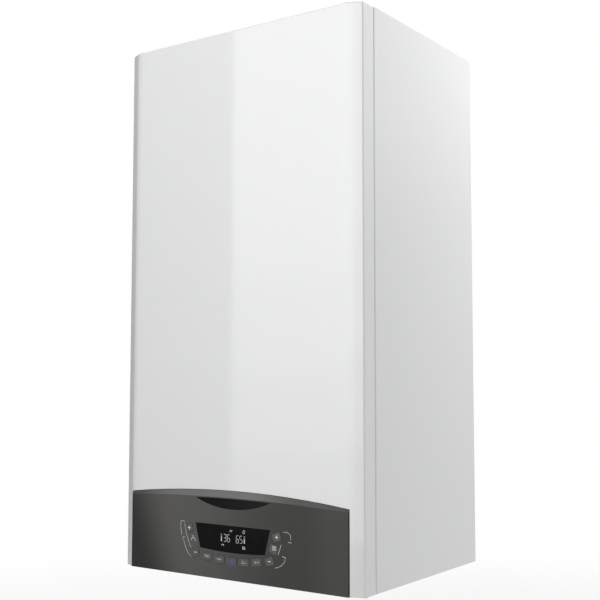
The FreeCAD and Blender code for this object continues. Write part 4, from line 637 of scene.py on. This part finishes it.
class Growth:
    """A geometry tree with named inputs, given with their usual values, that grows meshes."""

    def __init__(self, name, **usual):
        self.tree = bpy.data.node_groups.new(name, "GeometryNodeTree")
        self.inputs = {}
        for label, value in usual.items():
            self.new_input(label, SOCKET_KINDS[type(value)]).default_value = value
        self.new_input("Material", "NodeSocketMaterial")
        self.tree.interface.new_socket("Geometry", in_out="OUTPUT",
                                       socket_type="NodeSocketGeometry")
        self.given = self.tree.nodes.new("NodeGroupInput")

    def new_input(self, label, kind):
        socket = self.tree.interface.new_socket(label, in_out="INPUT", socket_type=kind)
        self.inputs[label] = socket.identifier
        return socket

    def wire(self, socket, value):
        """Feeds a socket from an output, from a named input or with a plain value."""
        if isinstance(value, bpy.types.NodeSocket):
            self.tree.links.new(value, socket)
        elif isinstance(value, str):
            self.tree.links.new(self.given.outputs[value], socket)
        else:
            socket.default_value = value

    def add(self, kind, **sockets):
        made = self.tree.nodes.new(kind)
        for name, value in sockets.items():
            self.wire(made.inputs[name.replace("_", " ")], value)
        return made.outputs[0]

    def times(self, one, two):
        made = self.tree.nodes.new("ShaderNodeMath")
        made.operation = "MULTIPLY"
        self.wire(made.inputs[0], one)
        self.wire(made.inputs[1], two)
        return made.outputs[0]

    def joined(self, *parts):
        made = self.tree.nodes.new("GeometryNodeJoinGeometry")
        for part in parts:
            self.tree.links.new(part, made.inputs[0])
        return made.outputs[0]

    def raised(self, geometry, height):
        offset = self.add("ShaderNodeCombineXYZ", Z=height)
        return self.add("GeometryNodeTransform", Geometry=geometry, Translation=offset)

    def spread(self, points, instance):
        """Ends the tree with one instance on each point."""
        self.close(self.add("GeometryNodeInstanceOnPoints", Points=points, Instance=instance))

    def close(self, geometry):
        whole = self.add("GeometryNodeRealizeInstances", Geometry=geometry)
        dressed = self.add("GeometryNodeSetMaterial", Geometry=whole, Material="Material")
        out = self.tree.nodes.new("NodeGroupOutput")
        self.tree.links.new(dressed, out.inputs[0])

    def mesh(self, slot, **values):
        """The plain mesh that the tree makes for the given values."""
        name = self.tree.name
        seed = placed(name, bpy.data.meshes.new(name))
        growth = seed.modifiers.new(name, "NODES")
        growth.node_group = self.tree
        for label, value in {**values, "Material": FINISHES[slot].material}.items():
            growth[self.inputs[label]] = value
        bpy.context.view_layer.update()
        ready = seed.evaluated_get(bpy.context.evaluated_depsgraph_get())
        mesh = bpy.data.meshes.new_from_object(ready)
        bpy.data.objects.remove(seed)
        return mesh


def chassis_trim(name, meshes, slot):
    """Several placed meshes as one piece of the chassis."""
    shape = bmesh.new()
    for mesh, place in meshes:
        copy = mesh.copy()
        copy.transform(place)
        shape.from_mesh(copy)
        bpy.data.meshes.remove(copy)
    bmesh.ops.recalc_face_normals(shape, faces=shape.faces)
    piece(name, mesh_of(shape, name), FINISHES[slot], "chassis")


def thread_tree():
    """A thread's crest: a fine ridge wound round a tube."""
    tree = Growth("union_thread", Radius=0.013, Pitch=0.0018, Turns=12.0, Depth=0.0006)
    winding = tree.add("GeometryNodeCurveSpiral", Resolution=28, Rotations="Turns",
                       Start_Radius="Radius", End_Radius="Radius",
                       Height=tree.times("Pitch", "Turns"))
    ridge = tree.add("GeometryNodeCurvePrimitiveCircle", Resolution=4, Radius="Depth")
    tree.close(tree.add("GeometryNodeCurveToMesh", Curve=winding, Profile_Curve=ridge,
                        Fill_Caps=True))
    return tree


def fixing_tree():
    """Hexagon-head screws with washers, spaced round a circle."""
    tree = Growth("screw_circle", Count=6, Circle=0.05, Head=0.004, Height=0.003)
    washer_wide, washer_thick, crown_wide, crown_tall = 1.35, 0.25, 0.86, 0.12
    around = tree.add("GeometryNodeMeshCircle", Vertices="Count", Radius="Circle")
    washer = tree.add("GeometryNodeMeshCylinder", Vertices=20,
                      Radius=tree.times("Head", washer_wide),
                      Depth=tree.times("Height", washer_thick))
    hexagon = tree.add("GeometryNodeMeshCylinder", Vertices=6, Radius="Head", Depth="Height")
    crown = tree.add("GeometryNodeMeshCone", Vertices=6, Radius_Top=0.0,
                     Radius_Bottom=tree.times("Head", crown_wide),
                     Depth=tree.times("Height", crown_tall))
    screw = tree.joined(washer, tree.raised(hexagon, tree.times("Height", 0.5)),
                        tree.raised(crown, "Height"))
    tree.spread(around, screw)
    return tree


def row_tree():
    """Rivet heads along a straight line."""
    tree = Growth("rivet_row", Count=8, Step=(0, 0, 0.05), Radius=0.003)
    line = tree.add("GeometryNodeMeshLine", Count="Count", Offset="Step")
    dome = tree.add("GeometryNodeMeshUVSphere", Segments=16, Rings=8, Radius="Radius")
    flat = tree.add("GeometryNodeTransform", Geometry=dome, Scale=(1.0, 1.0, 0.42))
    tree.spread(line, flat)
    return tree


def rib_tree():
    """Rounded rings stacked along an upright hose."""
    tree = Growth("hose_ribs", Count=12, Pitch=0.004, Radius=0.01, Ridge=0.001)
    step = tree.add("ShaderNodeCombineXYZ", Z="Pitch")
    line = tree.add("GeometryNodeMeshLine", Count="Count", Offset=step)
    loop = tree.add("GeometryNodeCurvePrimitiveCircle", Resolution=40, Radius="Radius")
    bead = tree.add("GeometryNodeCurvePrimitiveCircle", Resolution=8, Radius="Ridge")
    tree.spread(line, tree.add("GeometryNodeCurveToMesh", Curve=loop, Profile_Curve=bead))
    return tree


def facing_front(x, y, z):
    """A place at which up points to the front."""
    return Matrix.Translation((x, y, z)) @ Matrix.Rotation(math.radians(90), 4, "X")


def make_threads():
    """Threads on the pipe unions, at the places and sizes of their mounts."""
    union_long, start, sunk = 28, 0.002, 0.0003
    tree = thread_tree()
    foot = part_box("pipe_unions")[0][2]
    meshes = []
    for mount in frame["record"]["mounts"]:
        if mount["kind"] == "pin" and mount["dims"]["length_mm"] == union_long:
            mesh = tree.mesh("brass", Radius=mount["dims"]["r_mm"] * MM - sunk, Pitch=0.0018,
                             Turns=13.0, Depth=0.0006)
            x, y = mount["pos_m"][:2]
            meshes.append((mesh, Matrix.Translation((x, y, foot + start))))
    chassis_trim("union_threads", meshes, "brass")


def make_fixings():
    """Screws of the burner door, the fan motor and the pump motor."""
    tree = fixing_tree()
    big, small = {"Head": 0.005, "Height": 0.0045}, {"Head": 0.003, "Height": 0.0022}
    flange_back, rim_back = 0.006, 0.003
    meshes = []

    def ring(centred_on, y, count, circle, turn, size):
        low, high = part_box(centred_on)
        place = facing_front((low[0] + high[0]) / 2, y, (low[2] + high[2]) / 2)
        spin = Matrix.Rotation(math.radians(turn), 4, "Z")
        meshes.append((tree.mesh("steel", Count=count, Circle=circle, **size), place @ spin))

    door, fan, pump = [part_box(n)[0][1] for n in ("burner_door", "fan_motor", "pump_motor")]
    ring("exchanger_coil", door + flange_back, count=8, circle=0.106, turn=22.5, size=big)
    ring("fan_motor", fan, count=4, circle=0.030, turn=45, size=small)
    ring("pump_motor", pump + rim_back, count=4, circle=0.034, turn=45, size=small)
    chassis_trim("works_screws", meshes, "steel")


def make_rivets():
    """Rivets down both edges of the rear frame, seen from the wall side."""
    from_middle, above_foot, into_sheet = 0.172, 0.05, 0.0012
    tree = row_tree()
    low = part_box("rear_frame")[0]
    meshes = []
    for x in (-from_middle, from_middle):
        mesh = tree.mesh("zinc_steel", Count=9, Step=(0.0, 0.08, 0.0), Radius=0.0032)
        meshes.append((mesh, facing_front(x, low[1] + into_sheet, low[2] + above_foot)))
    chassis_trim("frame_rivets", meshes, "zinc_steel")


def make_hose_ribs():
    """The ribs of the condensate hose, which has plain cuffs."""
    cuff, pitch = 0.018, 0.0042
    low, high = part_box("condensate_hose")
    count = int((high[2] - low[2] - cuff * 2) / pitch)
    mesh = rib_tree().mesh("rubber", Count=count, Pitch=pitch, Radius=(high[0] - low[0]) / 2,
                           Ridge=0.0011)
    spot = ((low[0] + high[0]) / 2, (low[1] + high[1]) / 2, low[2] + cuff)
    chassis_trim("hose_ribs", [(mesh, Matrix.Translation(spot))], "rubber")


def make_gasket():
    """A soft strip on each side panel's front flange, which the cover closes on."""
    inset, short, wide, thick = 0.0095, 0.012, 7.0, 0.0009
    shape = bmesh.new()
    panel_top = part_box("control_fascia")[1][2]
    for name, side in (("left_side_panel", -1), ("right_side_panel", 1)):
        low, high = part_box(name)
        outer = low[0] if side < 0 else high[0]
        x = (outer - side * inset) / MM
        path = [(x, (z - FOOT) / MM) for z in (panel_top + short, high[2] - short)]
        ribbon(shape, path, wide, low[1], thick)
    drawn("cover_gasket", shape, FINISHES["rubber"], "chassis")


def make_floor():
    """A pale floor below the hanging boiler, which fades to white away from it."""
    shape = bmesh.new()
    bmesh.ops.create_grid(shape, x_segments=1, y_segments=1, size=FLOOR_HALF)
    mesh = mesh_of(shape, "studio_floor")
    floor = placed("studio_floor", mesh)
    floor.location = (0, 0, FOOT - FLOOR_DROP)
    finish = Finish("studio_floor", Roughness=MATT, Base_Color=FLOOR_PAINT)
    measure = {"operation": "LENGTH"}
    far = finish.node("ShaderNodeVectorMath", measure, {0: finish.place()}, "Value")
    white = finish.node("ShaderNodeEmission", None, {"Color": WHITE, "Strength": 1.0})
    painted = Term(finish, finish.shader.outputs[0])
    fade = 1 - SHADOW_SHARE + far.between(SHADOW_NEAR, SHADOW_FAR) * SHADOW_SHARE
    finish.show(finish.mixed(finish.sight() * fade, painted, white), "Material Output")
    mesh.materials.append(finish.material)


def make_surround():
    """A white surround that lights only a little."""
    world = bpy.data.worlds.new("studio")
    bpy.context.scene.world = world
    world.use_nodes = True
    world.node_tree.nodes.remove(world.node_tree.nodes["Background"])
    sky = Shading(world.node_tree)
    dim, bright = [sky.node("ShaderNodeBackground", None, {"Color": WHITE, "Strength": level})
                   for level in (SURROUND_LIGHT, 1.0)]
    sky.show(sky.mixed(sky.sight(), dim, bright), "World Output")


def softbox(name, place, aim, size, glow, mirrored=True, lights=True):
    """A rectangular lamp that faces a point; its face has the given brightness.

    One that isn't mirrored is hidden from reflections; one that doesn't light is only in them.
    """
    lamp = bpy.data.lights.new(name, "AREA")
    lamp.shape = "RECTANGLE"
    lamp.size, lamp.size_y = size
    lamp.energy = glow * math.pi * size[0] * size[1]
    made = placed(name, lamp)
    made.location = place
    made.rotation_euler = (Vector(aim) - Vector(place)).to_track_quat("-Z", "Y").to_euler()
    made.visible_camera = False
    made.visible_glossy = mirrored
    made.visible_diffuse = lights


def graded_strip(name, x, wide, layers, lights=True):
    """A tall strip in front that fades downwards: lamps, each with its foot and brightness."""
    top = STRIP_TOP
    for foot, glow in layers:
        middle = (top + foot) / 2
        spot, aim = (x, STRIP_AWAY, middle), (x, 0, middle)
        softbox(name, spot, aim, (wide, top - foot), glow, lights=lights)
        top = foot


def dark_card(name, path):
    """An upright folded card that only polished edges mirror."""
    shape = bmesh.new()
    edges = [[shape.verts.new((*spot, z)) for z in (CARD_FOOT, CARD_TOP)] for spot in path]
    for near, far in zip(edges, edges[1:]):
        shape.faces.new((near[0], far[0], far[1], near[1]))
    mesh = mesh_of(shape, name)
    mesh.materials.append(Finish(name, Roughness=MATT, Base_Color=CARD_PAINT).material)
    card = placed(name, mesh)
    card.visible_camera = False
    card.visible_diffuse = False
    card.visible_shadow = False


def make_light():
    """A high main light, tall strips in front, and a light behind each side.

    The step and middle strips and the card at the left are there only for reflections.
    """
    softbox("main_softbox", (0.1, -1.15, 1.3), aim=(0, -0.3, -0.15), size=(1.6, 1.2),
            glow=2.86, mirrored=False)
    graded_strip("strip_softbox", x=-1.80, wide=0.73,
                 layers=((0.05, 3.05), (-0.40, 2.7), (-0.75, 2.25), (-1.08, 1.75)))
    graded_strip("step_softbox", x=-2.53, wide=0.73, lights=False,
                 layers=((0.05, 0.8), (-0.40, 0.8), (-0.75, 0.7), (-1.08, 0.55)))
    graded_strip("edge_softbox", x=1.1, wide=0.42,
                 layers=((0.20, 3.5), (-0.30, 3.1), (-0.70, 2.5), (-1.08, 1.65)))
    graded_strip("middle_softbox", x=-0.27, wide=2.32, lights=False,
                 layers=((0.10, 2.9), (-0.35, 2.5), (-0.73, 2.0), (-1.08, 1.5)))
    softbox("side_softbox", (0.75, 0.6, 0.5), aim=(0.2, -0.05, 0), size=(0.9, 0.9),
            glow=4.8, mirrored=False)
    softbox("fill_softbox", (-1.2, 0.85, 0.4), aim=(-0.2, -0.1, -0.3), size=(1.2, 1.2),
            glow=2.8, mirrored=False)
    dark_card("left_card", ((-1.20, 0.85), (-1.62, 0.10), (-2.14, -0.62), (-1.62, -1.74)))


def make_camera():
    """The camera of the photo, as fitted to its edges."""
    lens = bpy.data.cameras.new("photo_camera")
    lens.lens = 61.155
    lens.sensor_width = 36.0
    lens.clip_start = 0.05
    made = placed("photo_camera", lens)
    made.location = (0.8596, -1.3874, -0.4241)
    made.rotation_euler = [math.radians(turn) for turn in (94.405, -0.058, 35.053)]
    bpy.context.scene.camera = made


make_camera()
make_floor()
make_surround()
make_light()
make_display()
make_brackets()
make_signs()
make_legends()
make_key_light()
make_threads()
make_fixings()
make_rivets()
make_hose_ribs()
make_gasket()
bpy.context.scene.view_settings.view_transform = "Standard"

bpy.context.view_layer.update()
